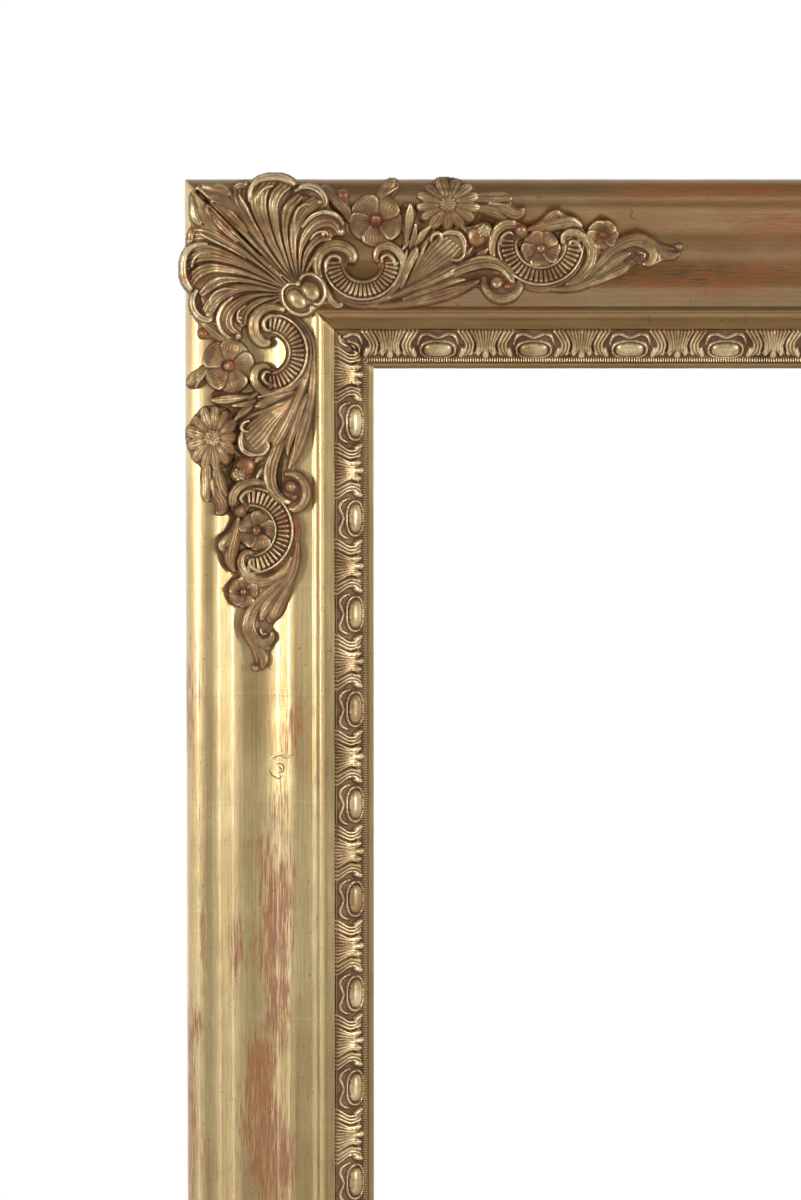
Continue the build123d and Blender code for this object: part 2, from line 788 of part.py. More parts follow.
parts["left_hanger_strap"] = strap(strap_x, strap_z)
parts["right_hanger_strap"] = to_right(parts["left_hanger_strap"])
parts["left_hanging_ring"] = hanging_ring(strap_x, strap_z)
parts["right_hanging_ring"] = to_right(parts["left_hanging_ring"])
strap_screws = [screw(strap_x, strap_thickness, z) for z in strap_screw_zs]
strap_screws += [to_right(item) for item in strap_screws]
parts["strap_screws"] = Compound(children=strap_screws)
button_screws = [screw(button_x, button_seat, z) for z in button_zs]
button_screws += [to_right(item) for item in button_screws]
parts["button_screws"] = Compound(children=button_screws)
for level_name, z in zip(("upper", "lower"), button_zs):
    button = turn_button(button_x, z)
    parts["left_" + level_name + "_turn_button"] = button
    parts["right_" + level_name + "_turn_button"] = to_right(button)

os.makedirs("parts", exist_ok=True)
for name, shape in parts.items():
    export_step(shape, "parts/" + name + ".step")
print(len(parts), "parts, frame", frame_width, frame_height, "rail", rail_width, "top", top_z)
print("ring pivot", strap_x, ring_y, strap_z, "buttons", button_x, button_seat, button_zs)
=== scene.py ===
import json
import math

import bmesh
import bpy
import numpy as np
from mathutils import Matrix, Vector
from mathutils.bvhtree import BVHTree


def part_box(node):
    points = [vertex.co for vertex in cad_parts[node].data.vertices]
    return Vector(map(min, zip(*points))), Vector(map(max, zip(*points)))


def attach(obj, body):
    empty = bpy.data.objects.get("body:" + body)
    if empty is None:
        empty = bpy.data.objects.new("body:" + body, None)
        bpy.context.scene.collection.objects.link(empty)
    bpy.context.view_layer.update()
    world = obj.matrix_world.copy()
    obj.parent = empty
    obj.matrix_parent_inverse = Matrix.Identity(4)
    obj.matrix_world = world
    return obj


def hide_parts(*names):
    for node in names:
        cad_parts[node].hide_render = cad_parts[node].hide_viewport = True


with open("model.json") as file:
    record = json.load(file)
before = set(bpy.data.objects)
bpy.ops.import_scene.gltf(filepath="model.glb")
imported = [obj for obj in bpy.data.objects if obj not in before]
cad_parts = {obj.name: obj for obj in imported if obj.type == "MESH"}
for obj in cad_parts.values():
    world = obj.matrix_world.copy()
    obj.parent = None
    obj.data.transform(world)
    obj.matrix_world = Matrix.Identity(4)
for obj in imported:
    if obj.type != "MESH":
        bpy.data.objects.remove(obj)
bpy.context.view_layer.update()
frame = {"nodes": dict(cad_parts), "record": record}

mm = 0.001
outerLow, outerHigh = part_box("top_cove_moulding")
leftEdge = outerLow.x
topEdge = outerHigh.z
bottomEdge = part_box("bottom_cove_moulding")[0].z
frameWidth = -2 * leftEdge
frameHeight = topEdge - bottomEdge

# The photograph's pixels measured along and across the top rail
plan = {
    "cornerX": 187.5,
    "edgeY": 178.0,
    "alongPixel": 0.331 / (683 - 187.5),
    "acrossPixel": 0.12494 / (369 - 178),
    "reliefPixel": 0.000661,
    "uprightNudge": (-3.1 * mm, 1.4 * mm),  # the left arm's casts sit a little nearer the corner
}

cove = {
    "battenFace": 22 * mm,
    "crestHeight": 62 * mm,
    "rollRadius": 15 * mm,
    "crestRadius": 14 * mm,
    "outerSlope": 40,
    "slopeRun": 5 * mm,
    "coveRadius": 20 * mm,
    "floorRun": 6 * mm,
    "riseRadius": 30 * mm,
    "riseSlope": 33,
    "riseRun": 3 * mm,
    "browRadius": 14 * mm,
    "shelfSlope": 4,
    "shelfWidth": 10.6 * mm,
    "beadWidth": 7.5 * mm,
    "beadRise": 1.8 * mm,
    "beadFall": 1.2 * mm,
    "filletDrop": 5.5 * mm,
    "filletWidth": 7 * mm,
    "quirkWidth": 1 * mm,
    "quirkDepth": 4 * mm,
    "softEdge": 0.35 * mm,
    "stationGap": 5 * mm,
    "mitreGap": 0.16 * mm,
    "waviness": 0.13 * mm,
    "waveSeed": 3,
}

sight = {
    "bandDrop": 2.5 * mm,
    "bandFall": 13.5 * mm,
    "bandWidth": 17 * mm,
    "bandBulge": 1.68 * mm,
    "overhangSlope": 0.2,
    "edgeWidth": 3 * mm,
    "edgeRise": 0.5 * mm,
    "recessWidth": 1.6 * mm,
    "recessDepth": 3 * mm,
    "sightDrop": 2.2 * mm,
    "filletWidth": 3.4 * mm,
    "lipWidth": 9 * mm,
    "lipStep": 1 * mm,
    "softEdge": 0.25 * mm,
    "stationGap": 6 * mm,
    "mitreGap": 0.22 * mm,
    "waviness": 0.06 * mm,
    "waveSeed": 11,
}

# What both mouldings share; only what stands above wavyAbove was finished by hand
handWork = {
    "wavyAbove": 30 * mm,
    "endLength": 0.9 * mm,
    "endDrop": 0.35 * mm,
    "arcStep": 5,
    "softFrom": 28,
    "softLongest": 0.45,
    "smoothAngle": 34,
}


def say(text):
    print("gilded frame:", text, flush=True)


# A section is drawn as (v, h): v in from the outer edge, h forward from the wall
def turtle(start, heading, moves):
    # a move is (None, distance) or (radius, degrees to turn)
    points = [start]
    v, h = start
    angle = math.radians(heading)
    for radius, amount in moves:
        if radius is None:
            v += amount * math.cos(angle)
            h += amount * math.sin(angle)
            points.append((v, h))
            continue
        steps = max(3, int(abs(amount) / handWork["arcStep"]))
        half = math.radians(amount) / steps / 2
        chord = 2 * radius * math.sin(abs(half))
        for index in range(steps):
            v += chord * math.cos(angle + half)
            h += chord * math.sin(angle + half)
            angle += 2 * half
            points.append((v, h))
    return points


def softenCorners(points, reach):
    result = [points[0]]
    for before, here, after in zip(points, points[1:], points[2:]):
        a = Vector(before) - Vector(here)
        b = Vector(after) - Vector(here)
        if math.degrees(a.angle(-b)) < handWork["softFrom"]:
            result.append(here)
            continue
        cut = min(reach, a.length * handWork["softLongest"], b.length * handWork["softLongest"])
        for share in (0.0, 0.5, 1.0):
            p = (Vector(here) + a.normalized() * cut * (1 - share) ** 2) + b.normalized() * cut * share**2
            result.append((p.x, p.y))
    result.append(points[-1])
    return result


def bulgedLine(start, end, bulge, steps):
    a, b = np.array(start), np.array(end)
    side = np.array([-(b - a)[1], (b - a)[0]]) / np.linalg.norm(b - a)
    return [tuple(a + (b - a) * t + side * bulge * 4 * t * (1 - t)) for t in np.linspace(0, 1, steps)]


def coveFace():
    c = cove
    slope, rise, shelf = (math.cos(math.radians(c[key])) for key in ("outerSlope", "riseSlope", "shelfSlope"))
    moves = [
        (c["rollRadius"], -90),
        (c["crestRadius"], -c["outerSlope"]),
        (None, c["slopeRun"] / slope),
        (c["coveRadius"], c["outerSlope"]),
        (None, c["floorRun"]),
        (c["riseRadius"], c["riseSlope"]),
        (None, c["riseRun"] / rise),
        (c["browRadius"], c["shelfSlope"] - c["riseSlope"]),
        (None, c["shelfWidth"] / shelf),
    ]
    return turtle((0.0, c["crestHeight"] - c["rollRadius"]), 90, moves)


faceLine = coveFace()
beadStart = faceLine[-1]
mouldingEdge = beadStart[0] + cove["beadWidth"] + cove["filletWidth"] + cove["quirkWidth"]
filletHeight = beadStart[1] - cove["filletDrop"]


def faceHeight(v):
    return np.interp(v, *np.array(faceLine).T)


def coveSection():
    c = cove
    beadEnd = (beadStart[0] + c["beadWidth"], beadStart[1] - c["beadFall"])
    bead = bulgedLine(beadStart, beadEnd, c["beadRise"] + c["beadFall"] / 2, 9)[1:]
    quirk = filletHeight - c["quirkDepth"]
    tail = [
        (beadEnd[0], filletHeight),
        (mouldingEdge - c["quirkWidth"], filletHeight),
        (mouldingEdge - c["quirkWidth"], quirk),
        (mouldingEdge, quirk),
        (mouldingEdge, c["battenFace"]),
    ]
    return softenCorners([(0.0, c["battenFace"])] + faceLine + bead + tail, c["softEdge"])


bandTop = (mouldingEdge, filletHeight - sight["bandDrop"])
bandFoot = (mouldingEdge + sight["bandWidth"], bandTop[1] - sight["bandFall"])
bandLine = bulgedLine(bandTop, bandFoot, sight["bandBulge"], 13)
railWidth = bandFoot[0] + sight["edgeWidth"] + sight["recessWidth"] + sight["filletWidth"]
sightHeight = bandFoot[1] - sight["sightDrop"]


def sightSection():
    s = sight
    foot = bandFoot[0]
    recess = foot + s["edgeWidth"]
    fillet = recess + s["recessWidth"]
    ledge = cove["battenFace"] - s["lipStep"]
    tail = [
        (foot, bandFoot[1] + s["edgeRise"]),
        (recess, bandFoot[1]),
        (recess, sightHeight - s["recessDepth"]),
        (fillet, sightHeight - s["recessDepth"]),
        (fillet, sightHeight),
        (railWidth, sightHeight),
        (railWidth, ledge),
        (railWidth - s["lipWidth"], ledge),
        (railWidth - s["lipWidth"], cove["battenFace"]),
    ]
    start = [(mouldingEdge, cove["battenFace"])]
    return softenCorners(start + bandLine + tail, s["softEdge"])


def bandPlace(share):
    # points on the band at shares of the way to the sight edge, and which way the band faces
    line = np.array(bandLine)
    inside = np.clip(share, 0, 1)
    t = inside * (len(line) - 1)
    v, h = (np.interp(t, np.arange(len(line)), line[:, k]) for k in (0, 1))
    over = (share - inside) * sight["bandWidth"]
    chord = line[-1] - line[0]
    lean = math.atan2(-chord[1], chord[0])
    return v + over, h - over * math.tan(lean) * sight["overhangSlope"], math.sin(lean), math.cos(lean)


railNames = ("top", "bottom", "left", "right")


def railLength(rail):
    return frameWidth if rail in ("top", "bottom") else frameHeight


def railPoint(rail, along, v, h):
    x, z = {
        "top": (leftEdge + along, topEdge - v),
        "bottom": (leftEdge + along, bottomEdge + v),
        "left": (leftEdge + v, topEdge - along),
        "right": (-leftEdge - v, topEdge - along),
    }[rail]
    return np.stack([x, -h, z], 1)


# Slow hand-made unevenness: a wave's turns along and across, its share, and how far a seed moves it
waves = ((61, 23, 1.0, 1.0), (137, -71, 1.0, 1.7), (263, 147, 0.7, 2.3), (523, -311, 0.4, 3.1))


def ripple(a, b, seed):
    whole = sum(share * np.sin(a * along + b * across + seed * move) for along, across, share, move in waves)
    return whole / sum(wave[2] for wave in waves)


def placed(name, data):
    made = bpy.data.objects.new(name, data)
    bpy.context.scene.collection.objects.link(made)
    return made


def setMarks(mesh, marks):
    for key, values in marks.items():
        layer = mesh.attributes.new(key, "FLOAT", "POINT")
        layer.data.foreach_set("value", np.asarray(values, np.float32))


def meshObject(name, points, faces, finish, marks, smoothAngle, lay=None):
    mesh = bpy.data.meshes.new(name)
    if signedVolume(points - points.mean(0), faces) < 0:
        faces = [tuple(reversed(face)) for face in faces]
    mesh.from_pydata(points.tolist(), [], faces)
    mesh.validate()
    setMarks(mesh, marks)
    if lay is not None:
        loops = np.zeros(len(mesh.loops), np.int32)
        mesh.loops.foreach_get("vertex_index", loops)
        uvs = mesh.uv_layers.new(name="lay")
        uvs.data.foreach_set("uv", np.asarray(lay, np.float32)[loops].ravel())
    mesh.shade_smooth()
    mesh.set_sharp_from_angle(angle=math.radians(smoothAngle))
    mesh.materials.append(finish)
    return placed(name, mesh)


def signedVolume(points, faces):
    total = 0.0
    groups = {}
    for face in faces:
        groups.setdefault(len(face), []).append(face)
    for count, group in groups.items():
        ends = points[np.array(group)]
        for index in range(1, count - 1):
            total += (ends[:, 0] * np.cross(ends[:, index], ends[:, index + 1])).sum()
    return total


def loftFaces(rings, points, closeEnds=True):
    faces = []
    for ring in range(rings - 1):
        a, b = ring * points, (ring + 1) * points
        for index in range(points):
            after = (index + 1) % points
            faces.append((a + index, b + index, b + after, a + after))
    if closeEnds:
        faces.append(tuple(range(points)))
        faces.append(tuple(reversed(range((rings - 1) * points, rings * points))))
    return faces


def nodeName(pieceName):
    return "".join("_" + letter.lower() if letter.isupper() else letter for letter in pieceName)


def onFrame(piece, dressesNode=True):
    if dressesNode:
        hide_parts(nodeName(piece.name))
    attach(piece, "frame")


# Where the leaf is rubbed down to the red clay: along the rail, in from the edge, half length, half width,
# strength. The right rail has the left one's spots from its other end, the bottom rail the top one's.
wearSpots = {
    "top": [
        (0.335, 0.009, 0.060, 0.0065, 1.5), (0.390, 0.030, 0.040, 0.009, 1.35),
        (0.360, 0.068, 0.070, 0.011, 0.9), (0.400, 0.056, 0.030, 0.012, 0.85),
        (0.295, 0.068, 0.030, 0.006, 0.5), (0.440, 0.010, 0.050, 0.007, 0.9),
        (0.300, 0.095, 0.200, 0.004, 0.45), (0.520, 0.050, 0.090, 0.016, 0.7),
        (0.640, 0.022, 0.070, 0.009, 0.9), (0.700, 0.066, 0.060, 0.010, 0.8),
    ],
    "left": [
        (0.345, 0.002, 0.045, 0.0030, 1.1), (0.338, 0.0125, 0.014, 0.0030, 0.9),
        (0.365, 0.072, 0.024, 0.0070, 0.85), (0.415, 0.062, 0.032, 0.0080, 0.8),
        (0.450, 0.050, 0.022, 0.0080, 0.8), (0.480, 0.062, 0.026, 0.0130, 1.0),
        (0.512, 0.034, 0.026, 0.0060, 1.0), (0.514, 0.056, 0.020, 0.0110, 1.0),
        (0.503, 0.0115, 0.034, 0.0030, 1.0), (0.545, 0.061, 0.026, 0.0080, 0.85),
        (0.562, 0.008, 0.014, 0.0050, 0.9), (0.590, 0.048, 0.020, 0.0090, 1.15),
        (0.628, 0.046, 0.020, 0.0120, 1.15), (0.660, 0.056, 0.026, 0.0150, 0.95),
        (0.620, 0.0015, 0.070, 0.0022, 1.0), (0.640, 0.012, 0.030, 0.0030, 0.8),
        (0.545, 0.066, 0.030, 0.0080, 0.5), (0.595, 0.050, 0.026, 0.0120, 0.35),
        (0.632, 0.058, 0.018, 0.0150, 0.45), (0.668, 0.064, 0.022, 0.0110, 0.55),
        (0.640, 0.0035, 0.080, 0.0034, 1.1), (0.600, 0.058, 0.110, 0.0200, 0.22),
        (0.740, 0.040, 0.050, 0.0110, 0.9), (0.800, 0.062, 0.045, 0.0120, 0.8),
        (0.880, 0.030, 0.060, 0.0090, 0.85), (0.950, 0.055, 0.050, 0.0130, 0.8),
    ],
}
wornThrough = {"top": 0.80, "left": 0.12, "right": 0.25, "bottom": 0.45}


def wearOn(rail, along, v, length):
    turned = {"right": "left", "bottom": "top"}
    wear = np.zeros(len(v))
    for middle, depth, halfLength, halfWidth, strength in wearSpots[turned.get(rail, rail)]:
        if rail in turned:
            middle = length - middle
        wear += strength * np.exp(-(((along - middle) / halfLength) ** 2) - ((v - depth) / halfWidth) ** 2)
    return np.minimum(wear, 1.0)


def sweptRail(rail, part, section, sizes, finish):
    length, gap = railLength(rail), sizes["mitreGap"]
    seed = sizes["waveSeed"] + railNames.index(rail)
    v, h = np.array(section).T
    run = np.concatenate([[0], np.cumsum(np.hypot(np.diff(v), np.diff(h)))])
    shares = np.linspace(0, 1, int(length / sizes["stationGap"]))
    end = handWork["endLength"] / length
    shares = np.concatenate([[0, end], shares[1:-1], [1 - end, 1]])
    normalV, normalH = -np.gradient(h, run), np.gradient(v, run)
    byHand = np.where(h > handWork["wavyAbove"], 1.0, 0.0)
    points, lay, wear = [], [], []
    for number, share in enumerate(shares):
        along = v + gap + share * (length - 2 * v - 2 * gap)
        wave = ripple(along, run, seed) * sizes["waviness"] * byHand
        if number in (0, len(shares) - 1):
            wave -= handWork["endDrop"] * byHand
        points.append(railPoint(rail, along, v + normalV * wave, h + normalH * wave))
        lay.append(np.stack([along, run], 1))
        wear.append(wearOn(rail, along, v, length))
    points = np.concatenate(points)
    marks = {"worn": np.concatenate(wear), "thin": np.full(len(points), wornThrough[rail])}
    faces = loftFaces(len(shares), len(section))
    angle, lay = handWork["smoothAngle"], np.concatenate(lay)
    onFrame(meshObject(rail + part, points, faces, finish, marks, angle, lay))


# Relief is modelled flat first, in the photograph's pixels: x and y in the plan and the rise forward.
# A shape is (points, faces, marks); marks holds a value for each point: red clay, and how bright it is
# painted, rubbed gold and a painted highlight where it stands proud, grime and painted shade in the hollows.
carving = {
    "roundShare": 0.4,
    "roundTurns": (25, 48, 68, 84),
    "fluteWidth": 3.3,
    "fluteCurve": 0.8,
    "bodyCurve": (3.2, 0.55),
    "plainCurve": (6, 0.6),
    "plainRidge": 0.35,
    "endRise": (0.55, 0.45),
    "panelBody": (0.62, 0.38),
    "panelRows": 30,
    "widestGroove": 5.0,
    "toolMarks": 0.10,
    "foot": 3.0,
}


def between(values, shares):
    return np.interp(shares, np.linspace(0, 1, len(values)), values)


def smoothLine(line, step, roundTip=True, roundRoot=False):
    line = np.asarray(line, float)
    chord = np.concatenate([[0], np.cumsum(np.hypot(*np.diff(line[:, :2], axis=0).T))])
    slope = np.gradient(line, chord, axis=0)
    total = chord[-1]
    tip, root = (min(line[end, 2], total * carving["roundShare"]) for end in (-1, 0))
    first = root if roundRoot else 0.0
    last = total - tip if roundTip else total
    places = list(np.linspace(first, last, max(3, int((last - first) / step) + 1)))
    inward = 1 - np.sin(np.radians(carving["roundTurns"]))
    if roundTip:
        places += list(total - tip * inward)
    if roundRoot:
        places = list(root * inward)[::-1] + places
    places = np.array(places)
    piece = np.clip(np.searchsorted(chord, places, "right") - 1, 0, len(chord) - 2)
    span = (chord[piece + 1] - chord[piece])[:, None]
    t = (places - chord[piece])[:, None] / span
    a, b = line[piece], line[piece + 1]
    ma, mb = slope[piece] * span, slope[piece + 1] * span
    made = (
        (2 * t**3 - 3 * t**2 + 1) * a
        + (t**3 - 2 * t**2 + t) * ma
        + (3 * t**2 - 2 * t**3) * b
        + (t**3 - t**2) * mb
    )
    fade = np.ones(len(places))
    for wanted, away, reach in ((roundTip, total - places, tip), (roundRoot, places, root)):
        if wanted:
            near = np.clip(1 - away / max(reach, 1e-6), 0, 1)
            fade *= np.sqrt(np.clip(1 - near**2, 0.01, 1))
    return made, fade


def swell(across, curve):
    power, root = curve
    return (1 - np.abs(across) ** power) ** root


def ridgesOver(across, flutes):
    return np.abs(np.sin((across + 1) / 2 * flutes * math.pi)) ** carving["fluteCurve"]


def grooveDepth(groove, width, flutes):
    return groove * np.minimum(2 * width / flutes, carving["widestGroove"])[:, None]


def closedGrid(px, py, top, foot):
    # a grid of points gets side walls down to its foot, and both its ends are closed
    grid = np.stack([px, py, top], 2)
    walls = grid[:, [0, -1]].copy()
    walls[:, :, 2] = -foot
    points = np.concatenate([walls[:, :1], grid, walls[:, 1:]], 1)
    faces = loftFaces(*points.shape[:2])
    points = points.reshape(-1, 3)
    return points, faces, {"red": np.zeros(len(points))}


# A leaf, petal or rib along a line of stations: x, y, half width, rise
def leaf(line, flutes=2, groove=0.55, edge=0.4, cup=0.0, step=1.7, foot=carving["foot"], **ends):
    made, fade = smoothLine(line, step, **ends)
    if flutes > 1:
        flutes = max(flutes, round(2 * max(station[2] for station in line) / carving["fluteWidth"]))
    count = max(4 * flutes, 4) + 1
    across = np.sin(np.linspace(-0.5, 0.5, count) * math.pi) * 0.35 + np.linspace(-1, 1, count) * 0.65
    if flutes > 0:
        ridge, curve = ridgesOver(across, flutes), carving["bodyCurve"]
    else:
        ridge, curve = carving["plainRidge"], carving["plainCurve"]
    body = (edge + (1 - edge) * swell(across, curve)) * (1 - cup * (1 - across**2) ** 0.8)
    flat, lifted = carving["endRise"]
    width, rise = made[:, 2] * fade, made[:, 3] * (flat + lifted * fade)
    run = np.gradient(made[:, :2], axis=0)
    run /= np.maximum(np.linalg.norm(run, axis=1), 1e-9)[:, None]
    px = made[:, None, 0] - run[:, None, 1] * across * width[:, None]
    py = made[:, None, 1] + run[:, None, 0] * across * width[:, None]
    top = rise[:, None] * body - grooveDepth(groove, width, max(flutes, 1)) * (1 - ridge)
    top = top + carving["toolMarks"] * np.sin(px * 0.31 + py * 0.53)
    return closedGrid(px, py, top, foot)


# A fan of flutes between two lines
def panel(left, right, flutes, rises, groove=0.42):
    shares = np.linspace(0, 1, carving["panelRows"])
    sides = []
    for line in (left, right):
        made, _ = smoothLine([(x, y, 1.0, 1.0) for x, y in line], 1.0, roundTip=False)
        sides.append([between(made[:, k], shares)[:, None] for k in (0, 1)])
    (leftX, leftY), (rightX, rightY) = sides
    width = np.hypot(rightX - leftX, rightY - leftY)[:, 0] / 2
    across = np.linspace(-1, 1, 4 * flutes + 1)
    share = (across + 1) / 2
    low, swollen = carving["panelBody"]
    body = low + swollen * swell(across, carving["bodyCurve"])
    top = between(rises, shares)[:, None] * body
    top = top - grooveDepth(groove, width, flutes) * (1 - ridgesOver(across, flutes))
    px = leftX * (1 - share) + rightX * share
    py = leftY * (1 - share) + rightY * share
    return closedGrid(px, py, top, carving["foot"])


def dome(x, y, radius, rise, low=0.35, stretch=1.0, turn=0.0, red=0.0, sides=18, rings=5):
    angles = np.linspace(0, 2 * math.pi, sides, endpoint=False)
    tilt = math.radians(turn)
    levels = [(1.0, -carving["foot"]), (1.0, rise * low)]
    for k in range(1, rings):
        phi = k / rings * math.pi / 2
        levels.append((math.cos(phi), rise * (low + (1 - low) * math.sin(phi))))
    points = []
    for share, level in levels:
        a = np.cos(angles) * radius * share * stretch
        b = np.sin(angles) * radius * share
        px = x + a * math.cos(tilt) - b * math.sin(tilt)
        py = y + a * math.sin(tilt) + b * math.cos(tilt)
        points.append(np.stack([px, py, np.full(sides, level)], 1))
    faces = loftFaces(len(levels), sides, False)
    last = len(levels) * sides
    for index in range(sides):
        faces.append((last - sides + index, last, last - sides + (index + 1) % sides))
    faces.append(tuple(range(sides)))
    return np.concatenate(points + [[(x, y, rise)]]), faces, {"red": np.full(last + 1, red)}


# Small domes set as seeds are, each a turn further and a little further out
def seeds(centre, reach, count, radius, riseAt, low=0.35, turn=2.4, start=0.0):
    made = []
    for index in range(count):
        angle, far = index * turn, reach * math.sqrt((index + start) / count)
        x, y = centre[0] + far * math.cos(angle), centre[1] + far * math.sin(angle)
        made.append(dome(x, y, radius, riseAt(far), low, sides=8, rings=2))
    return made


def joinShapes(shapes):
    faces, offset = [], 0
    for shape in shapes:
        faces += [tuple(index + offset for index in face) for face in shape[1]]
        offset += len(shape[0])
    marks = {key: np.concatenate([shape[2][key] for shape in shapes]) for key in shapes[0][2]}
    return np.concatenate([shape[0] for shape in shapes]), faces, marks


def movedShape(shape, x, y, stretchX=1.0, stretchY=1.0):
    return (shape[0] * (stretchX, stretchY, 1) + (x, y, 0), *shape[1:])


def mirrored(shape):
    points, faces, marks = shape
    return points * (-1, 1, 1), [tuple(reversed(face)) for face in faces], marks


def arcLine(centre, radii, angles, widths, rises, count):
    shares = np.linspace(0, 1, count)
    angle, radius = np.radians(between(angles, shares)), between(radii, shares)
    x = centre[0] + radius * np.cos(angle)
    y = centre[1] - radius * np.sin(angle)
    return np.stack([x, y, between(widths, shares), between(rises, shares)], 1)


def put(tree, kind, feeds=None, **settings):
    made = tree.nodes.new(kind)
    for key, value in settings.items():
        setattr(made, key, value)
    for key, value in (feeds or {}).items():
        if isinstance(value, bpy.types.NodeSocket):
            tree.links.new(value, made.inputs[key])
        else:
            made.inputs[key].default_value = value
    return made


def reckon(tree, operation, a, b=0.0, c=0.0, clamp=False):
    return put(tree, "ShaderNodeMath", {0: a, 1: b, 2: c}, operation=operation, use_clamp=clamp).outputs[0]


def startTree(name, numbers):
    tree = bpy.data.node_groups.new(name, "GeometryNodeTree")
    kinds = {"Pattern": "Object", "Finish": "Material", "Count": "Int", **dict.fromkeys(numbers, "Float")}
    for key, kind in {"Geometry": "Geometry", **kinds}.items():
        tree.interface.new_socket(key, in_out="INPUT", socket_type="NodeSocket" + kind)
    tree.interface.new_socket("Geometry", in_out="OUTPUT", socket_type="NodeSocketGeometry")
    return tree, tree.nodes.new("NodeGroupInput").outputs


def finishTree(tree, given, points, **placing):
    # a copy of the pattern on every point, made real and painted
    pattern = put(tree, "GeometryNodeObjectInfo", {"Object": given["Pattern"]}).outputs["Geometry"]
    feeds = {"Points": points, "Instance": pattern, **placing}
    copies = put(tree, "GeometryNodeInstanceOnPoints", feeds).outputs[0]
    real = put(tree, "GeometryNodeRealizeInstances", {0: copies}).outputs[0]
    painted = put(tree, "GeometryNodeSetMaterial", {"Geometry": real, "Material": given["Finish"]}).outputs[0]
    tree.links.new(painted, tree.nodes.new("NodeGroupOutput").inputs[0])
    return tree


# Copies of a pattern turned round one centre: petals, and the ribs of a scroll
def ringTree():
    tree, given = startTree("copiesRoundCentre", ("First Angle", "Step Angle", "Size Change"))
    points = put(tree, "GeometryNodePoints", {"Count": given["Count"]}).outputs[0]
    index = put(tree, "GeometryNodeInputIndex").outputs[0]
    turn = reckon(tree, "MULTIPLY_ADD", index, given["Step Angle"], given["First Angle"])
    angles = put(tree, "ShaderNodeCombineXYZ", {"Z": turn}).outputs[0]
    low = reckon(tree, "SUBTRACT", 1.0, given["Size Change"])
    high = reckon(tree, "ADD", 1.0, given["Size Change"])
    feeds = {2: low, 3: high, "Seed": 7}  # 2 and 3 are the least and the most of a plain number
    size = put(tree, "FunctionNodeRandomValue", feeds, data_type="FLOAT").outputs[1]
    return finishTree(tree, given, points, Rotation=angles, Scale=size)


# Copies of a pattern at an even pitch along a rail
def rowTree():
    tree, given = startTree("copiesAlongRail", ("Start", "Pitch"))
    feeds = {"Count": given["Count"]}
    for key, number in (("Start Location", "Start"), ("Offset", "Pitch")):
        feeds[key] = put(tree, "ShaderNodeCombineXYZ", {"X": given[number]}).outputs[0]
    line = put(tree, "GeometryNodeMeshLine", feeds, mode="OFFSET").outputs[0]
    return finishTree(tree, given, line)


def repeated(tree, shape, finish, sizes):
    points, faces, marks = shape
    mesh = bpy.data.meshes.new("pattern")
    mesh.from_pydata(points.tolist(), [], faces)
    setMarks(mesh, marks)
    pattern = placed("pattern", mesh)
    holder = placed("holder", bpy.data.meshes.new("holder"))
    modifier = holder.modifiers.new("copies", "NODES")
    modifier.node_group = tree
    given = {"Pattern": pattern, "Finish": finish, **sizes}
    for item in tree.interface.items_tree:
        if item.in_out == "INPUT" and item.name in given:
            modifier[item.identifier] = given[item.name]
    bpy.context.view_layer.update()
    graph = bpy.context.evaluated_depsgraph_get()
    mesh = bpy.data.meshes.new_from_object(holder.evaluated_get(graph))
    holder.modifiers.remove(modifier)
    points = np.zeros(len(mesh.vertices) * 3)
    mesh.vertices.foreach_get("co", points)
    faces = [tuple(face.vertices) for face in mesh.polygons]
    made = {}
    for key in marks:
        made[key] = np.zeros(len(mesh.vertices), np.float32)
        mesh.attributes[key].data.foreach_get("value", made[key])
    for used in (holder, pattern):
        bpy.data.objects.remove(used)
    bpy.data.meshes.remove(mesh)
    return points.reshape(-1, 3), faces, made


# One casting is modelled from its lobes as a single skin: where they meet, the skin runs over them.
# How bright a place is painted comes from how far it stands above what is round it and how high it is: rubbed
# gold and a painted highlight where it stands proud, grime and painted shade where it sits low.
casting = {
    "spacing": 0.8,
    "fineSpacing": 0.7,
    "foot": -3.0,
    "soften": 0.38,
    "redSoften": 0.8,
    "groundReach": 3.2,
    "groundShare": 0.80,
    "flowerGroundShare": 0.6,
    "groundCover": 0.34,
    "lump": 0.15,
    "smoothAngle": 80,
    "crest": {"reach": 1.7, "level": 0.47, "proud": 0.27, "high": 0.02, "middle": 10},
    "leastCrest": (6, 0.28, 0.12),  # below this rise, and above it
}
nothing = -4.0  # the height where no relief is


def blurred(field, reach):
    steps = int(math.ceil(2.5 * reach))
    weights = np.exp(-0.5 * (np.arange(-steps, steps + 1) / reach) ** 2)
    weights /= weights.sum()
    rows, columns = field.shape
    wide = np.pad(field, [(steps, steps), (0, 0)], mode="edge")
    field = sum(weight * wide[k : k + rows] for k, weight in enumerate(weights))
    wide = np.pad(field, [(0, 0), (steps, steps)], mode="edge")
    return sum(weight * wide[:, k : k + columns] for k, weight in enumerate(weights))


def seenFromAbove(shape, xs, ys):
    points, faces, marks = shape
    tree = BVHTree.FromPolygons(points.tolist(), faces)
    faceRed = [marks["red"][face[0]] for face in faces]
    heights = np.full((len(ys), len(xs)), nothing)
    reds = np.zeros((len(ys), len(xs)))
    down = Vector((0, 0, -1))
    for j, y in enumerate(ys):
        for i, x in enumerate(xs):
            spot, _, index, _ = tree.ray_cast((x, y, 60.0), down)
            if index is not None:
                heights[j, i] = spot.z
                reds[j, i] = faceRed[index]
    return heights, reds


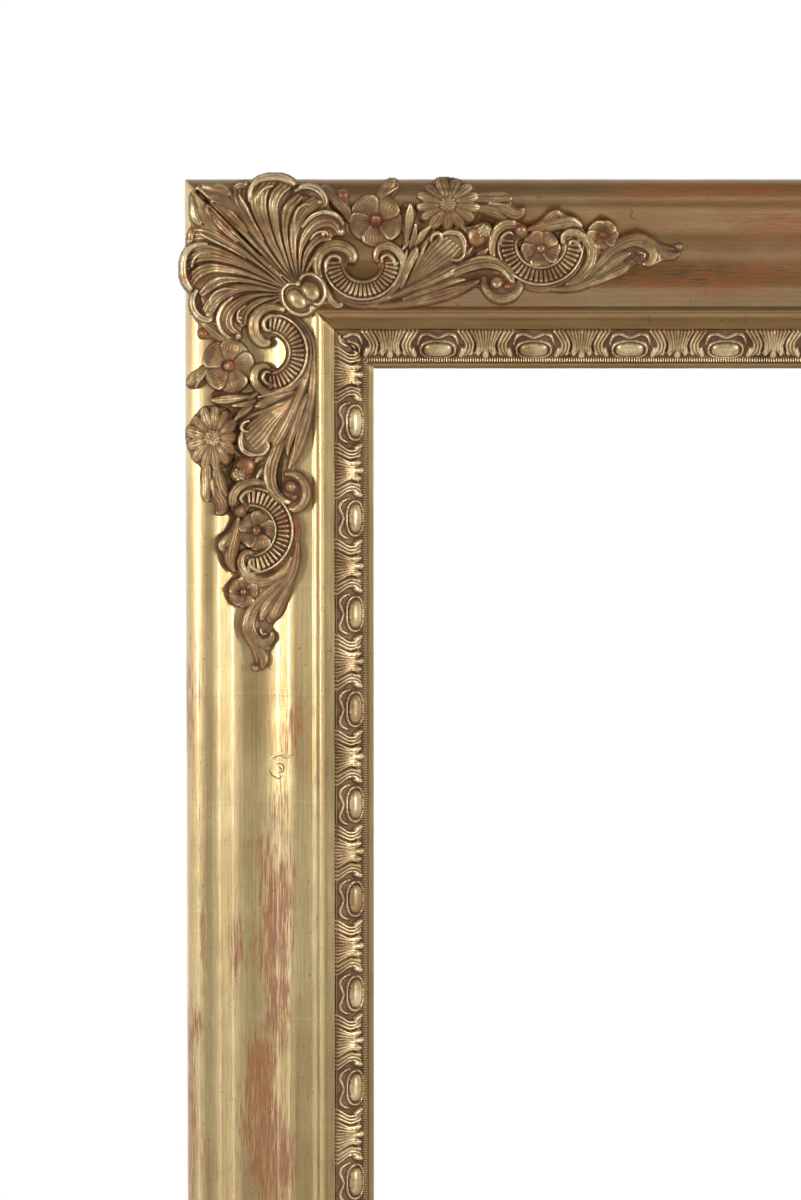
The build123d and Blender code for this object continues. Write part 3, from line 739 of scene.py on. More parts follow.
def modelledField(shape, sizes):
    fine = sizes["spacing"] / 2
    low, high = shape[0].min(0) - 4, shape[0].max(0) + 4
    xs, ys = (np.arange(low[k], high[k], fine) for k in (0, 1))
    heights, reds = seenFromAbove(shape, xs, ys)
    inside = (heights > nothing + 0.5).astype(float)
    reach = sizes["groundReach"] / fine
    cover = blurred(inside, reach)
    ground = blurred(np.maximum(heights, 0) * inside, reach) / np.maximum(cover, 1e-3) * sizes["groundShare"]
    heights = np.where(cover > sizes["groundCover"], np.maximum(heights, ground), heights)
    heights = np.maximum(blurred(heights, sizes["soften"] / fine), nothing)
    x, y = np.meshgrid(xs, ys)
    heights = heights + sizes["lump"] * ripple(x * 0.005, y * 0.005, 5) * (heights > 0)
    reds = blurred(reds, sizes["redSoften"] / fine)
    return xs[::2], ys[::2], heights[::2, ::2], reds[::2, ::2]


# Painted light: what stands above its surroundings is painted brighter as a highlight, and what sits below
# them darker as shade, together with the real rubbing and grime.
def paintedLightAndWearOf(heights, spacing):
    c = casting["crest"]
    rise, lowLeast, highLeast = casting["leastCrest"]
    inside = (heights > nothing / 2).astype(float)
    reach = c["reach"] / spacing
    around = blurred(heights * inside, reach) / np.maximum(blurred(inside, reach), 1e-3)
    crest = c["level"] + c["proud"] * (heights - around) + c["high"] * (heights - c["middle"])
    return np.clip(crest, np.where(heights < rise, lowLeast, highLeast), 1)


def widened(places):
    step = places[1] - places[0]
    return np.concatenate([places[0] - step * np.array([2, 1]), places, places[-1] + step * np.array([1, 2])])


def skinShape(xs, ys, heights, crest, reds, foot):
    # the field's cells above the foot as a closed skin, its rim brought down to the foot and a flat back
    solid = np.pad(heights > foot + 0.2, 2)
    heights, crest, reds = (np.pad(field, 2, mode="edge") for field in (heights, crest, reds))
    xs, ys = widened(xs), widened(ys)
    cells = solid[:-1, :-1] | solid[1:, :-1] | solid[:-1, 1:] | solid[1:, 1:]
    for _ in range(4):
        a, b, c, d = cells[:-1, :-1], cells[:-1, 1:], cells[1:, :-1], cells[1:, 1:]
        kiss = (a & d & ~b & ~c) | (b & c & ~a & ~d)
        for part in (a, b, c, d):
            part |= kiss
    around = np.pad(cells, 1).astype(int)
    around = around[:-1, :-1] + around[1:, :-1] + around[:-1, 1:] + around[1:, 1:]
    edge = (around > 0) & (around < 4)
    used = around > 0
    heights = np.where(edge, foot, np.maximum(heights, foot + 0.1))
    ids = np.full(used.shape, -1)
    ids[used] = np.arange(used.sum())
    rows, columns = np.nonzero(used)
    points = np.stack([xs[columns], ys[rows], heights[used]], 1)
    j, i = np.nonzero(cells)
    faces = np.stack([ids[j, i], ids[j, i + 1], ids[j + 1, i + 1], ids[j + 1, i]], 1)
    faces = [tuple(face) for face in faces.tolist()]
    for j in range(cells.shape[0]):
        change = np.flatnonzero(np.diff(np.concatenate([[0], cells[j].astype(int), [0]])))
        for a, b in zip(change[::2], change[1::2]):
            upper = [ids[j, k] for k in range(a, b + 1) if edge[j, k]]
            lower = [ids[j + 1, k] for k in range(b, a - 1, -1) if edge[j + 1, k]]
            faces.append(tuple(int(k) for k in reversed(upper + lower)))
    return points, faces, {"crest": crest[used], "red": reds[used]}


def modelled(shape, **other):
    sizes = {**casting, **other}
    xs, ys, heights, reds = modelledField(shape, sizes)
    return skinShape(xs, ys, heights, paintedLightAndWearOf(heights, sizes["spacing"]), reds, sizes["foot"])


# Lobes are (flutes, stations), a station is x, y, half width, rise, in the photograph's pixels
palmette = {
    "root": (301, 288),
    "panels": [
        (3, [(288, 281), (262, 255), (236, 228), (212, 204), (199, 191)], [(291, 278), (270, 255), (250, 232),
            (236, 213), (226, 197)], (9, 11, 12, 12.5, 9)),
        (4, [(291, 278), (272, 256), (252, 232), (241, 215), (234, 202), (231, 190)], [(292, 276), (280, 262),
            (268, 243), (258, 224), (252, 208), (250, 195), (251, 186)], (9.5, 11.5, 13, 13.5, 13, 10)),
        (4, [(292, 276), (281, 261), (269, 242), (259, 223), (253, 207), (253, 194), (260, 183)], [(293, 274),
            (285, 256), (277, 237), (272, 217), (271, 202), (274, 190), (281, 182)],
            (10, 12, 13.5, 14.5, 15.5, 16, 14)),
        (3, [(293, 274), (285, 256), (277, 237), (272, 217), (271, 202), (275, 190), (283, 182)], [(294, 273),
            (289, 256), (284, 238), (282, 220), (282, 207), (288, 195), (297, 187)],
            (10, 12, 13.5, 15, 16, 15.5, 12)),
        (2, [(294.5, 272), (289.5, 256), (285, 238), (283, 221), (284, 209), (291, 199), (300, 192)],
            [(297, 270), (293, 254), (291, 239), (292, 225), (297, 214), (303, 205), (306, 198)],
            (10, 12, 13, 13.5, 13.5, 13, 10)),
        (4, [(297, 270), (293, 254), (291, 239), (292, 225), (297, 213), (306, 202), (316, 196)], [(300, 269),
            (299, 250), (300, 237), (305, 225), (313, 215), (321, 210), (327, 206)],
            (9.5, 12, 13.5, 14.5, 14.5, 14, 12)),
        (3, [(300.5, 269), (300, 251), (302, 238), (308, 226), (318, 217), (331, 214), (342, 221)],
            [(303, 268), (305, 251), (311, 240), (319, 232), (328, 228), (335, 230), (339, 236)],
            (9.5, 11.5, 13, 14, 14, 13.5, 12)),
        (2, [(303.5, 268), (306, 251), (312, 241), (320, 233), (328, 230), (333, 232), (334, 237)],
            [(306, 270), (311, 257), (318, 247), (325, 243), (329, 243), (331, 242), (332, 240)],
            (9, 11, 12, 12.5, 12, 11, 9)),
        (1, [(306, 271), (311, 259), (317, 250), (320, 246)], [(308, 276), (315, 266), (321, 257),
            (323, 248)], (8, 10, 10.5, 8)),
    ],
    "lobes": [
        (0, [(287, 277, 5, 8), (295, 280, 7, 9.5), (303, 277, 6.5, 9), (310, 270, 4, 7)]),
        (1, [(284, 277, 1.6, 11), (266, 260, 2.6, 13.5), (250, 245, 3, 14), (234, 230, 3, 13.5),
            (220, 216, 1.6, 12)]),
        (2, [(250, 232, 2.6, 12), (241, 222, 3.8, 14.5), (232, 213, 4, 14.5), (223, 208, 2.4, 12)]),
        (0, [(200, 189, 4, 9), (211, 193, 7.5, 12.5), (223, 198, 9, 13.5), (235, 209, 7.5, 13),
            (243, 220, 4, 12)]),
        (2, [(206, 187, 2.4, 10), (216, 188.5, 4, 14), (228, 191, 4.6, 15), (235, 197, 3, 13)]),
        (1, [(212, 203, 1.6, 11), (219, 202, 2.6, 13.5), (226, 205, 2, 12)]),
        (1, [(266, 240, 1.6, 13), (256, 222, 2.4, 16), (249, 207, 2.6, 16), (242, 194, 2, 13)]),
        (2, [(236, 191, 2.6, 9), (243, 186, 3.6, 12.5), (251, 186, 3, 11)]),
        (3, [(253, 203, 2, 14), (254, 191, 3, 17.5), (261, 182, 3.8, 18.5), (272, 178.5, 4.2, 18.5),
            (283, 178.5, 4.2, 18), (292, 182, 4, 16.5), (299, 187.5, 2.6, 12)]),
        (1, [(262, 206, 1.6, 15.5), (262, 196, 2.2, 18), (268, 189, 2.4, 18.5), (277, 186.5, 2.2, 17.5)]),
        (0, [(299, 197, 4, 9), (308, 200, 6, 10.5), (316, 203, 4, 10)]),
        (2, [(297, 192, 2.2, 12), (306, 187.5, 3.2, 16), (317, 189, 3.8, 16.5), (325, 196, 3.8, 16),
            (327.5, 204, 3.4, 14), (322, 211, 2.2, 11)]),
        (1, [(297, 232, 1.8, 15), (297, 219, 2.6, 17), (302, 209, 2.6, 17), (310, 205, 2.2, 15),
            (315, 208, 1.6, 13)]),
        (2, [(304, 228, 2, 15.5), (314, 217.5, 2.8, 17), (327, 213, 3, 17.5), (339, 217, 2.8, 16.5),
            (346, 226, 2.2, 13)]),
        (1, [(312, 240, 1.8, 14), (320, 232.5, 2.4, 16), (328, 232.5, 2.2, 14.5), (330, 237, 1.6, 13)]),
    ],
    "knobs": [(325, 234.5, 3.2, 15.5), (342.5, 232, 4.6, 13), (250, 185, 4, 12), (322, 203, 4, 15)],
    "cracks": [((199, 191), (212, 207), 2.2, 9.0), ((232, 230), (263, 258), 1.1, 4.5)],
    "rootShare": 0.45,
    "mitreGroove": (1.6, 0.9),
    "closedCrack": (0.8, 0.25),
    "cutPast": -1.3,
}

clasp = {
    "pads": [(299.0, 300.2, 8.6, 14.5), (312.6, 291.4, 8.4, 14.5)],
    "padStretch": 1.36,
    "bed": [(293, 288, 10, 10), (306, 296, 15, 11), (317, 303, 8, 9)],
    "rims": [
        [(300, 285, 2, 11), (292, 284.5, 2.4, 12), (285.5, 290, 2.6, 12.5), (285.5, 301, 2.6, 12.5),
            (293, 311.5, 2.6, 12.5), (303, 315.5, 2.6, 12), (311.5, 313, 2.4, 11), (314, 307, 1.8, 9)],
        [(301, 283.5, 2, 11), (304, 277, 2.4, 12), (312.5, 274.5, 2.6, 12.5), (321.5, 279, 2.6, 12.5),
            (326.5, 288, 2.6, 12.5), (326, 298.5, 2.6, 12), (320.5, 305, 2.4, 11), (315, 304, 1.8, 9)],
    ],
    "knobs": [(300.2, 284.2, 3.8, 14.5), (314, 308.5, 3.6, 10.5)],
    "sprigs": [
        (2, [(322, 281, 2, 8), (328, 291, 3.2, 9.5), (333, 301, 3.4, 9.5), (340, 306.5, 3, 8.5),
            (345, 303, 2.2, 7.5)]),
    ],
}

largeScroll = {
    "centre": (364, 262),
    "ribs": {"count": 22, "from": 2, "to": 178, "inner": 22.5, "outer": 36},
    "lining": (20.5, 2.6, -4, -182),
    "rim": (38, 2.4, 4, -186),
    "ridges": [(41.5, 2.3, 10, -178, 9.5), (44.8, 2.2, -20, -158, 7.5)],
    "leaves": [
        (2, [(322, 278, 3.5, 10), (319, 264, 5, 12.5), (324, 252, 6, 14), (335, 246, 6.5, 14.5),
            (347, 248, 6.5, 14), (354, 256, 5.5, 12.5), (353, 264, 4, 10)]),
        (1, [(328, 272, 2.6, 11), (328, 262, 3.4, 14), (334, 256, 3.6, 15), (341, 258, 3.2, 14),
            (342, 265, 2.4, 11)]),
        (2, [(406, 274, 3, 9), (404, 261, 4.5, 12), (398, 251, 5, 13.5), (389, 246, 5, 13.5),
            (380, 249, 4.4, 12.5), (377, 257, 3.4, 11), (380, 263, 2.4, 9)]),
        (1, [(397, 268, 2.2, 11), (394, 259, 3, 14), (388, 255, 3.2, 14.5), (383, 258, 2.6, 13),
            (384, 264, 2, 10)]),
    ],
}

smallScroll = {
    "centre": (540, 243),
    "ribs": {"count": 25, "from": -4, "to": 184, "inner": 27, "outer": 40},
    "lining": (25, 2.4, 4, -188),
    "rim": (42, 2.3, 6, -186),
    "ridges": [(45.3, 2.1, 14, -150, 8.5), (48.2, 1.9, -6, -120, 6.5)],
    "leaves": [
        (2, [(493, 258, 3, 9), (492, 244, 4.5, 12), (496, 232, 5.5, 13.5), (506, 225, 5.5, 14),
            (517, 225, 5, 13.5)]),
        (1, [(500, 246, 2.6, 11), (502, 237, 3.2, 13.5), (509, 232.5, 3.2, 13.5), (514, 236, 2.4, 11)]),
        (2, [(589, 258, 3, 8.5), (587, 245, 4.4, 11.5), (580, 236, 4.8, 13), (571, 232.5, 4.6, 13),
            (563, 236, 4, 12), (562, 245, 2.8, 10)]),
        (1, [(580, 252, 2.2, 11), (577, 244, 2.8, 13), (571, 241, 2.8, 13), (567, 246, 2.2, 11)]),
    ],
    "knobs": [(520.5, 231.5, 7, 14)],
}

foliage = {
    "grounds": [
        [(380, 300, 4, 4), (410, 285, 12, 5.5), (436, 266, 20, 6.5), (452, 256, 14, 6.5)],
        [(390, 302, 4, 4), (430, 288, 9, 5.5), (470, 274, 12, 6), (498, 272, 10, 5)],
        [(403, 292, 5, 5), (411, 270, 12, 6), (420, 250, 14, 6.5), (430, 234, 12, 6), (440, 224, 8, 5)],
        [(407, 204, 5, 5), (410, 220, 8, 6), (415, 236, 9, 6)],
        [(455, 230, 8, 5), (466, 245, 10, 6), (482, 254, 9, 6), (494, 260, 6, 5)],
        [(580, 284, 3, 4), (604, 270, 8, 5.5), (626, 254, 11, 6), (646, 252, 9, 6), (664, 255, 4, 4)],
        [(384, 200, 4, 4), (392, 190, 6, 6), (396, 180, 4, 5)],
        [(476, 206, 5, 5), (492, 208, 7, 6), (510, 212, 6, 6)],
    ],
    "panels": [
        (7, [(402, 292), (413, 273), (424, 253), (434, 239), (442, 232.5)], [(405, 294), (423, 281),
            (443, 269), (458, 260.5), (465, 252)], (8, 11, 13.5, 15, 15.5, 14)),
    ],
    "lobes": [
        (2, [(565, 240, 1.8, 8), (575, 234.5, 3.6, 10.5), (586, 239, 4.6, 11.5), (591.5, 252, 4.8, 11.5),
            (588, 266, 4.6, 11), (578, 278, 4.2, 10), (564, 285, 3.2, 9)]),
        (2, [(541, 288.5, 1.4, 5), (556, 289.5, 2.6, 8), (572, 287.5, 3.8, 9), (590, 280, 4.8, 9.5),
            (606, 268, 5, 9.5), (622, 259, 4.5, 9.5), (632, 262, 3, 8)]),
        (3, [(360, 306, 1.6, 5), (390, 305.5, 3, 8), (415, 302, 4, 10), (440, 296, 5, 10.5),
            (462, 288, 4.8, 10.5), (480, 280.5, 2.6, 8)]),
        (4, [(372, 303, 2, 7), (396, 296, 4, 10), (420, 286, 5, 12), (445, 276, 6, 13), (462, 268, 6.6, 13.5),
            (476, 263.5, 6.6, 14), (490, 262.5, 6.4, 14), (501, 266, 6, 13.5), (509, 274, 5.2, 13),
            (512, 284, 3.6, 11.5)]),
        (3, [(390, 299, 2, 10), (410, 290, 3.5, 13), (430, 281, 5.5, 15.5), (446, 272.5, 6, 16),
            (455, 268, 4.6, 14.5), (460, 271, 2.4, 11)]),
        (2, [(404, 300, 2, 9), (422, 293, 3.5, 12.5), (440, 286.5, 4.2, 13.5), (455, 281, 3.6, 13),
            (466, 280, 2.2, 10)]),
        (2, [(412, 302, 1.6, 9), (432, 296, 3, 12), (450, 290.5, 3.4, 12.5), (466, 286, 2, 10.5)]),
        (1, [(466, 262, 2, 13), (480, 257.5, 2.4, 15), (494, 259, 2.6, 15), (503, 264, 2, 13)]),
        (0, [(443, 235, 3, 13), (453, 239, 6, 14), (460, 246, 6, 14), (463, 254, 3, 13)]),
        (1, [(431, 242, 2, 14), (433.5, 235.5, 2.8, 16.5), (439, 233.5, 3, 17), (442, 238.5, 2.6, 16),
            (439.5, 242.5, 2, 14)]),
        (2, [(440, 235.5, 2, 15), (450, 232.5, 2.8, 16), (459, 234, 3, 16), (464, 241, 3, 15.5),
            (465, 250, 2.4, 14.5)]),
        (1, [(465, 248, 2, 14), (463.5, 256, 2.8, 15), (457.5, 260.5, 3, 15.5), (451.5, 259, 2.6, 15),
            (450.5, 254.5, 2, 14)]),
        (2, [(402, 289, 2, 9), (406, 275, 3.6, 12), (411, 262, 4.6, 13.5), (416, 252, 4.2, 13.5),
            (418, 246.5, 2.8, 12)]),
        (1, [(399, 286, 2, 9), (402, 272, 2.8, 11.5), (406, 259, 3, 12), (408, 249, 2.4, 10.5)]),
        (1, [(408, 288, 2, 9), (414.5, 272, 2.6, 12), (421, 257, 3, 13), (425.5, 246, 2.6, 12.5),
            (429, 241, 2, 11)]),
        (2, [(384, 300, 2, 8), (394, 291, 3, 10), (400, 280, 3.4, 10.5), (401, 270, 2.6, 9)]),
        (2, [(407, 243, 2, 9), (409, 229, 3.8, 12), (410.5, 214, 4.4, 13), (411, 203.5, 2.8, 11)]),
        (2, [(411, 248, 2, 9), (415, 236, 3.2, 12), (416.5, 223, 2.4, 11)]),
        (2, [(415, 246, 2.4, 9), (423, 235, 4.2, 13), (431.5, 225.5, 2.6, 11)]),
        (1, [(402, 252, 2, 8), (407, 245, 3, 10), (411, 239, 2, 9)]),
        (1, [(420, 249, 2, 9), (428, 240, 2.6, 11.5), (435, 229, 2, 10)]),
        (2, [(376, 201, 3, 7), (385, 193, 5, 11), (391, 186, 5.4, 12), (395, 178.5, 3.2, 9)]),
        (1, [(384, 198, 1.8, 9), (392, 191.5, 2.8, 12.5), (399, 187.5, 2, 10)]),
        (3, [(324, 186, 3, 8), (336, 199, 4.8, 10), (347, 211, 5, 11), (356, 222, 3, 9)]),
        (1, [(336, 203, 2, 8), (345, 213, 3, 10), (352, 223, 2.4, 9)]),
        (3, [(472, 200, 4, 9), (484, 198.5, 5, 11), (496, 199, 5, 11.5), (507, 198.5, 4, 10.5),
            (512, 200, 2.6, 9)]),
        (3, [(474, 208, 3, 8), (486, 209.5, 5, 10), (498, 213, 5.4, 11), (507, 219.5, 3, 9)]),
        (2, [(496, 206, 3, 10), (505, 210.5, 5, 12.5), (514, 215, 4.8, 13), (521, 213, 3.8, 12),
            (522.5, 207.5, 2.6, 10)]),
        (1, [(488, 204, 2, 11), (498, 205, 2.6, 12.5), (508, 206, 2, 11)]),
        (2, [(460, 262, 2.4, 9), (466, 254, 4, 11), (473, 246.5, 2.6, 9.5)]),
        (2, [(474, 260, 2.4, 9), (481, 254, 3.8, 10.5), (489, 247.5, 2.6, 9)]),
        (1, [(468, 262, 2, 10), (478, 258.5, 2.6, 11.5), (488, 257, 2, 10)]),
        (1, [(458, 224, 2, 8), (466, 232, 3, 9.5), (468, 242, 2.4, 9)]),
        (3, [(526, 230, 2.4, 8), (540, 227.5, 4, 11), (556, 224, 5.4, 12.5), (570, 222.5, 4.8, 12),
            (582, 226.5, 2.6, 9)]),
        (2, [(541, 224, 2.4, 9), (548, 219, 4.4, 12), (556, 214.5, 4, 12), (561, 217.5, 2.6, 10)]),
        (3, [(577, 284, 2, 5), (588, 274, 3, 9), (600, 262, 4.4, 11), (612, 250, 5.4, 12.5),
            (625, 242, 6.2, 13), (639, 240, 6, 13), (650, 244, 5.2, 12.5), (660, 251, 4.6, 12),
            (670, 255, 4.2, 11.5), (678, 253.5, 3.6, 10.5)]),
        (2, [(578, 286, 1.8, 5), (594, 275, 3, 9.5), (608, 264, 4.4, 12), (620, 256, 4.8, 13),
            (630, 252.5, 3.4, 11)]),
        (2, [(574, 288, 2, 4), (592, 281, 4, 8), (608, 272, 6, 10), (620, 266, 7, 11), (629, 262.5, 6, 10)]),
        (2, [(634, 244, 2.6, 12), (645, 246.5, 4, 14), (651.5, 254, 4.2, 14), (648, 262.5, 3.8, 12.5),
            (640, 264, 2.6, 10)]),
        (1, [(637, 252, 1.8, 10), (643, 254, 2.4, 12), (642.5, 259, 2, 10.5)]),
        (1, [(650, 247, 2, 10), (656, 255, 3.6, 11.5), (657.5, 262, 2.4, 9)]),
        (1, [(653, 243, 1.8, 10), (664, 247.5, 2.6, 11.5), (673, 249, 2.2, 10)]),
        (2, [(484, 277, 2.6, 8), (484.5, 287, 3.8, 10), (491, 295.5, 4.2, 11), (502, 299, 4.4, 11),
            (513, 295.5, 4.2, 10.5), (519, 286, 3.4, 9.5), (517, 278, 2.4, 8)]),
    ],
    "knobs": [
        (496.5, 283.5, 6.8, 14.5, 0.0), (506.5, 286.5, 4.6, 11.5, 0.95), (487.5, 291.5, 3.6, 11, 0.0),
        (345, 195, 6, 10, 0.8), (476, 237, 11, 15, 0.6), (484, 231, 8.5, 16.5, 0.0),
        (677, 246.5, 4.4, 13.5, 0.0), (356, 219, 5.5, 10, 0.5),
    ],
    "beads": {"centre": (484, 231), "reach": 6.4, "count": 17, "radius": 1.5, "rise": 18.2},
    "lobeWidths": (1.1, 0.62),
    "tailFall": (585, 70, 0.34),
}

flowers = {
    "rose": {
        "centre": (377, 221),
        "petals": 5,
        "reach": 27.5,
        "half": 15.2,
        "turn": -54,
        "stretch": (1.0, 0.97),
        "flutes": 7,
        "knob": 5.2,
        "red": 0.9,
        "lift": 10.5,
        "petal": "round",
    },
    "daisy": {
        "centre": (448, 205),
        "petals": 13,
        "reach": 31,
        "half": 6.3,
        "turn": 8,
        "stretch": (1.06, 0.86),
        "flutes": 3,
        "knob": 8.6,
        "red": 0.0,
        "lift": 10.5,
        "petal": "long",
    },
    "smallRose": {
        "centre": (540, 248.5),
        "petals": 5,
        "reach": 20.5,
        "half": 11.4,
        "turn": 90,
        "stretch": (1.0, 0.98),
        "flutes": 6,
        "knob": 4.4,
        "red": 0.9,
        "lift": 9.5,
        "petal": "round",
    },
    "floret": {
        "centre": (601, 235),
        "petals": 5,
        "reach": 16.5,
        "half": 9.2,
        "turn": 90,
        "stretch": (1.0, 0.95),
        "flutes": 4,
        "knob": 3.4,
        "red": 0.9,
        "lift": 8.5,
        "petal": "round",
    },
}

# A petal's stations: share of the reach, share of the half width, rise over the flower's lift
petals = {
    "round": {
        "root": (2, 2.5, -2),
        "stations": ((0.4, 0.72, 0), (0.72, 1, 2.5), (1, 0.86, 1)),
        "leaf": {"groove": 0.3, "edge": 0.8, "cup": 0.25},
        "twist": 0.16,
        "change": 0.03,
        "knobRise": 4.5,
    },
    "long": {
        "root": (6, 2.4, 0),
        "stations": ((0.42, 0.66, 2.6), (0.72, 1, 2.2), (1, 0.55, -1.6)),
        "leaf": {"groove": 0.6, "edge": 0.5},
        "twist": 0.0,
        "change": 0.05,
        "knobRise": 2.6,
        "backRow": (0.95, 0.6),
        "seeds": {"reach": 0.9, "count": 26, "radius": 1.25, "rise": 4.0},
    },
}


def flowerShape(flower, finish):
    petal = petals[flower["petal"]]
    reach, half, lift, knob = (flower[key] for key in ("reach", "half", "lift", "knob"))
    start, startHalf, startRise = petal["root"]
    line = [(start, 0, startHalf, lift + startRise)]
    line += [(reach * far, 0, half * wide, lift + rise) for far, wide, rise in petal["stations"]]
    points, faces, marks = leaf(line, flower["flutes"], **petal["leaf"])
    above = points[:, 2] > -carving["foot"]
    points[above, 2] += petal["twist"] * points[above, 1]
    step, first = math.radians(360 / flower["petals"]), math.radians(flower["turn"])
    given = {"Count": flower["petals"], "First Angle": first, "Step Angle": step}
    given["Size Change"] = petal["change"]
    rows = [repeated(ring, (points, faces, marks), finish, given)]
    if "backRow" in petal:
        shorter, lower = petal["backRow"]
        back = points.copy()
        back[:, 0] *= shorter
        back[above, 2] *= lower
        given["First Angle"] += step / 2
        rows.insert(0, repeated(ring, (back, faces, marks), finish, given))
    centre = flower["centre"]
    shapes = [movedShape(joinShapes(rows), *centre, *flower["stretch"])]
    shapes.append(dome(*centre, knob, lift + petal["knobRise"], low=0.75, red=flower["red"]))
    if "seeds" in petal:
        s = petal["seeds"]

        def riseAt(far):
            return lift + s["rise"] - (far / knob) ** 2

        shapes += seeds(centre, knob * s["reach"], s["count"], s["radius"], riseAt, 0.8, 2.39996, 0.5)
    return joinShapes(shapes)


def scrollShape(scroll, finish):
    centre, ribs = scroll["centre"], scroll["ribs"]
    count, first, last, inner, outer = (ribs[key] for key in ("count", "from", "to", "inner", "outer"))
    middle, half = (inner + outer) / 2, (outer - inner) / 2

    def arc(radii, angles, widths, rises, stations, flutes=1, **how):
        return leaf(arcLine(centre, radii, angles, widths, rises, stations), flutes, **how)

    line = [(inner - 0.5, 0, 1.6, 10.6), (middle, 0, 2.1, 11.4), (outer + 0.5, 0, 2.6, 12)]
    rib = leaf(line, 1, groove=0, edge=0.7, step=3.2, roundRoot=True)
    step = math.radians((last - first) / (count - 1))
    given = {"Count": count, "First Angle": math.radians(first), "Step Angle": step}
    shapes = [movedShape(repeated(ring, rib, finish, given), *centre)]
    ends = (4 - first, -4 - last)
    shapes.append(arc((middle,), ends, (half + 1,), (10.0,), 21, 0, edge=0.8, roundTip=False))
    for line, rise, stations in (("lining", 11.5, 19), ("rim", 12.5, 23)):
        radius, width, start, end = scroll[line]
        widths = (width * 0.8, width, width, width * 0.8)
        rises = (rise - 2.5, rise, rise, rise - 2.5)
        shapes.append(arc((radius,), (start, end), widths, rises, stations, roundRoot=True))
    for radius, width, start, end, rise in scroll["ridges"]:
        widths = (width * 0.5, width, width * 0.5)
        rises = (rise * 0.6, rise, rise * 0.5)
        shapes.append(arc((radius - 1, radius, radius - 1), (start, end), widths, rises, 19, roundRoot=True))
    shapes += [leaf(line, flutes) for flutes, line in scroll["leaves"]]
    shapes += [dome(*knob) for knob in scroll.get("knobs", ())]
    return joinShapes(shapes)


def plainPlace(points):
    along = (points[:, 0] - plan["cornerX"]) * plan["alongPixel"]
    across = (points[:, 1] - plan["edgeY"]) * plan["acrossPixel"]
    return along, across


def palmetteShape(cracked):
    # one half of the fan, cut along the mitre; the other half is its mirror image
    p = palmette
    root = np.array(p["root"]) * (1 - p["rootShare"])
    shapes = []
    for flutes, left, right, rises in p["panels"]:
        roots = [tuple(np.array(side[0]) * p["rootShare"] + root) for side in (left, right)]
        shapes.append(panel([roots[0]] + left, [roots[1]] + right, flutes, (rises[0] * 0.9, *rises)))
    shapes += [leaf(line, flutes) for flutes, line in p["lobes"]]
    shapes += [dome(*knob) for knob in p["knobs"]]
    xs, ys, heights, reds = modelledField(joinShapes(shapes), casting)
    x, y = np.meshgrid(xs, ys)
    along, across = plainPlace(np.stack([x.ravel(), y.ravel()], 1))
    over = ((along - across) / plan["reliefPixel"] / math.sqrt(2)).reshape(x.shape)
    deep, wide = p["mitreGroove"]
    heights = heights - deep * np.exp(-((over / wide) ** 2))
    for start, end, wide, deep in p["cracks"]:
        if not cracked:
            wide, deep = p["closedCrack"][0], deep * p["closedCrack"][1]
        run = np.clip((x - start[0] + y - start[1]) / (end[0] - start[0] + end[1] - start[1]), 0, 1)
        heights = heights - np.sin(run * math.pi) ** 0.6 * deep * np.exp(-((over / wide) ** 4))
    crest = paintedLightAndWearOf(heights, casting["spacing"])
    heights = np.where(over < p["cutPast"], nothing, heights)
    return skinShape(xs, ys, heights, crest, reds, casting["foot"])


def claspShape():
    stretch = clasp["padStretch"]
    shapes = [dome(*pad, 0.5, stretch, 45, sides=32, rings=8) for pad in clasp["pads"]]
    shapes.append(leaf(clasp["bed"], 0, edge=0.6, roundRoot=True))
    shapes += [leaf(line, 1, groove=0.2, roundRoot=True) for line in clasp["rims"]]
    shapes += [leaf(line, flutes) for flutes, line in clasp["sprigs"]]
    shapes += [dome(*knob) for knob in clasp["knobs"]]
    return joinShapes(shapes)


def foliageShape():
    f = foliage
    fuller, tipShare = f["lobeWidths"]
    shapes = [leaf(line, 0, edge=0.6) for line in f["grounds"]]
    shapes += [panel(left, right, flutes, rises) for flutes, left, right, rises in f["panels"]]
    for flutes, line in f["lobes"]:
        inner = [(x, y, half * fuller, rise) for x, y, half, rise in line[1:-1]]
        x, y, half, rise = line[-1]
        shapes.append(leaf([line[0]] + inner + [(x, y, half * tipShare, rise)], flutes))
    shapes += [dome(x, y, radius, rise, red=red) for x, y, radius, rise, red in f["knobs"]]
    b = f["beads"]
    shapes += seeds(b["centre"], b["reach"], b["count"], b["radius"], lambda far: b["rise"])
    points, faces, marks = joinShapes(shapes)
    start, run, fall = f["tailFall"]
    points[:, 2] *= 1 - fall * np.clip((points[:, 0] - start) / run, 0, 1)
    return points, faces, marks


drapeFrom, drapeTo = 7 * mm, beadStart[0] + 2 * mm


def drape(shape, overMitre):
    points = shape[0]
    along, across = plainPlace(points)
    v = np.minimum(along, across) if overMitre else across
    base = faceHeight(np.clip(v, drapeFrom, drapeTo))
    return along, across, base + points[:, 2] * plan["reliefPixel"]


corners = {"topLeft": (1, 1), "topRight": (-1, 1), "bottomLeft": (1, -1), "bottomRight": (-1, -1)}


def cornerPoints(corner, along, across, h):
    sideways, upward = corners[corner]
    x = sideways * (leftEdge + along)
    z = topEdge - across if upward > 0 else bottomEdge + across
    return np.stack([x, -h, z], 1)


def ornament(name, points, faces, marks, finish):
    onFrame(meshObject(name, points, faces, finish, marks, casting["smoothAngle"]))


def armOrnament(label, shape, finish):
    along, across, h = drape(shape, False)
    nudgeAlong, nudgeAcross = plan["uprightNudge"]
    for corner in corners:
        ornament(corner + "Level" + label, cornerPoints(corner, along, across, h), *shape[1:], finish)
        points = cornerPoints(corner, across + nudgeAcross, along + nudgeAlong, h)
        ornament(corner + "Upright" + label, points, *shape[1:], finish)


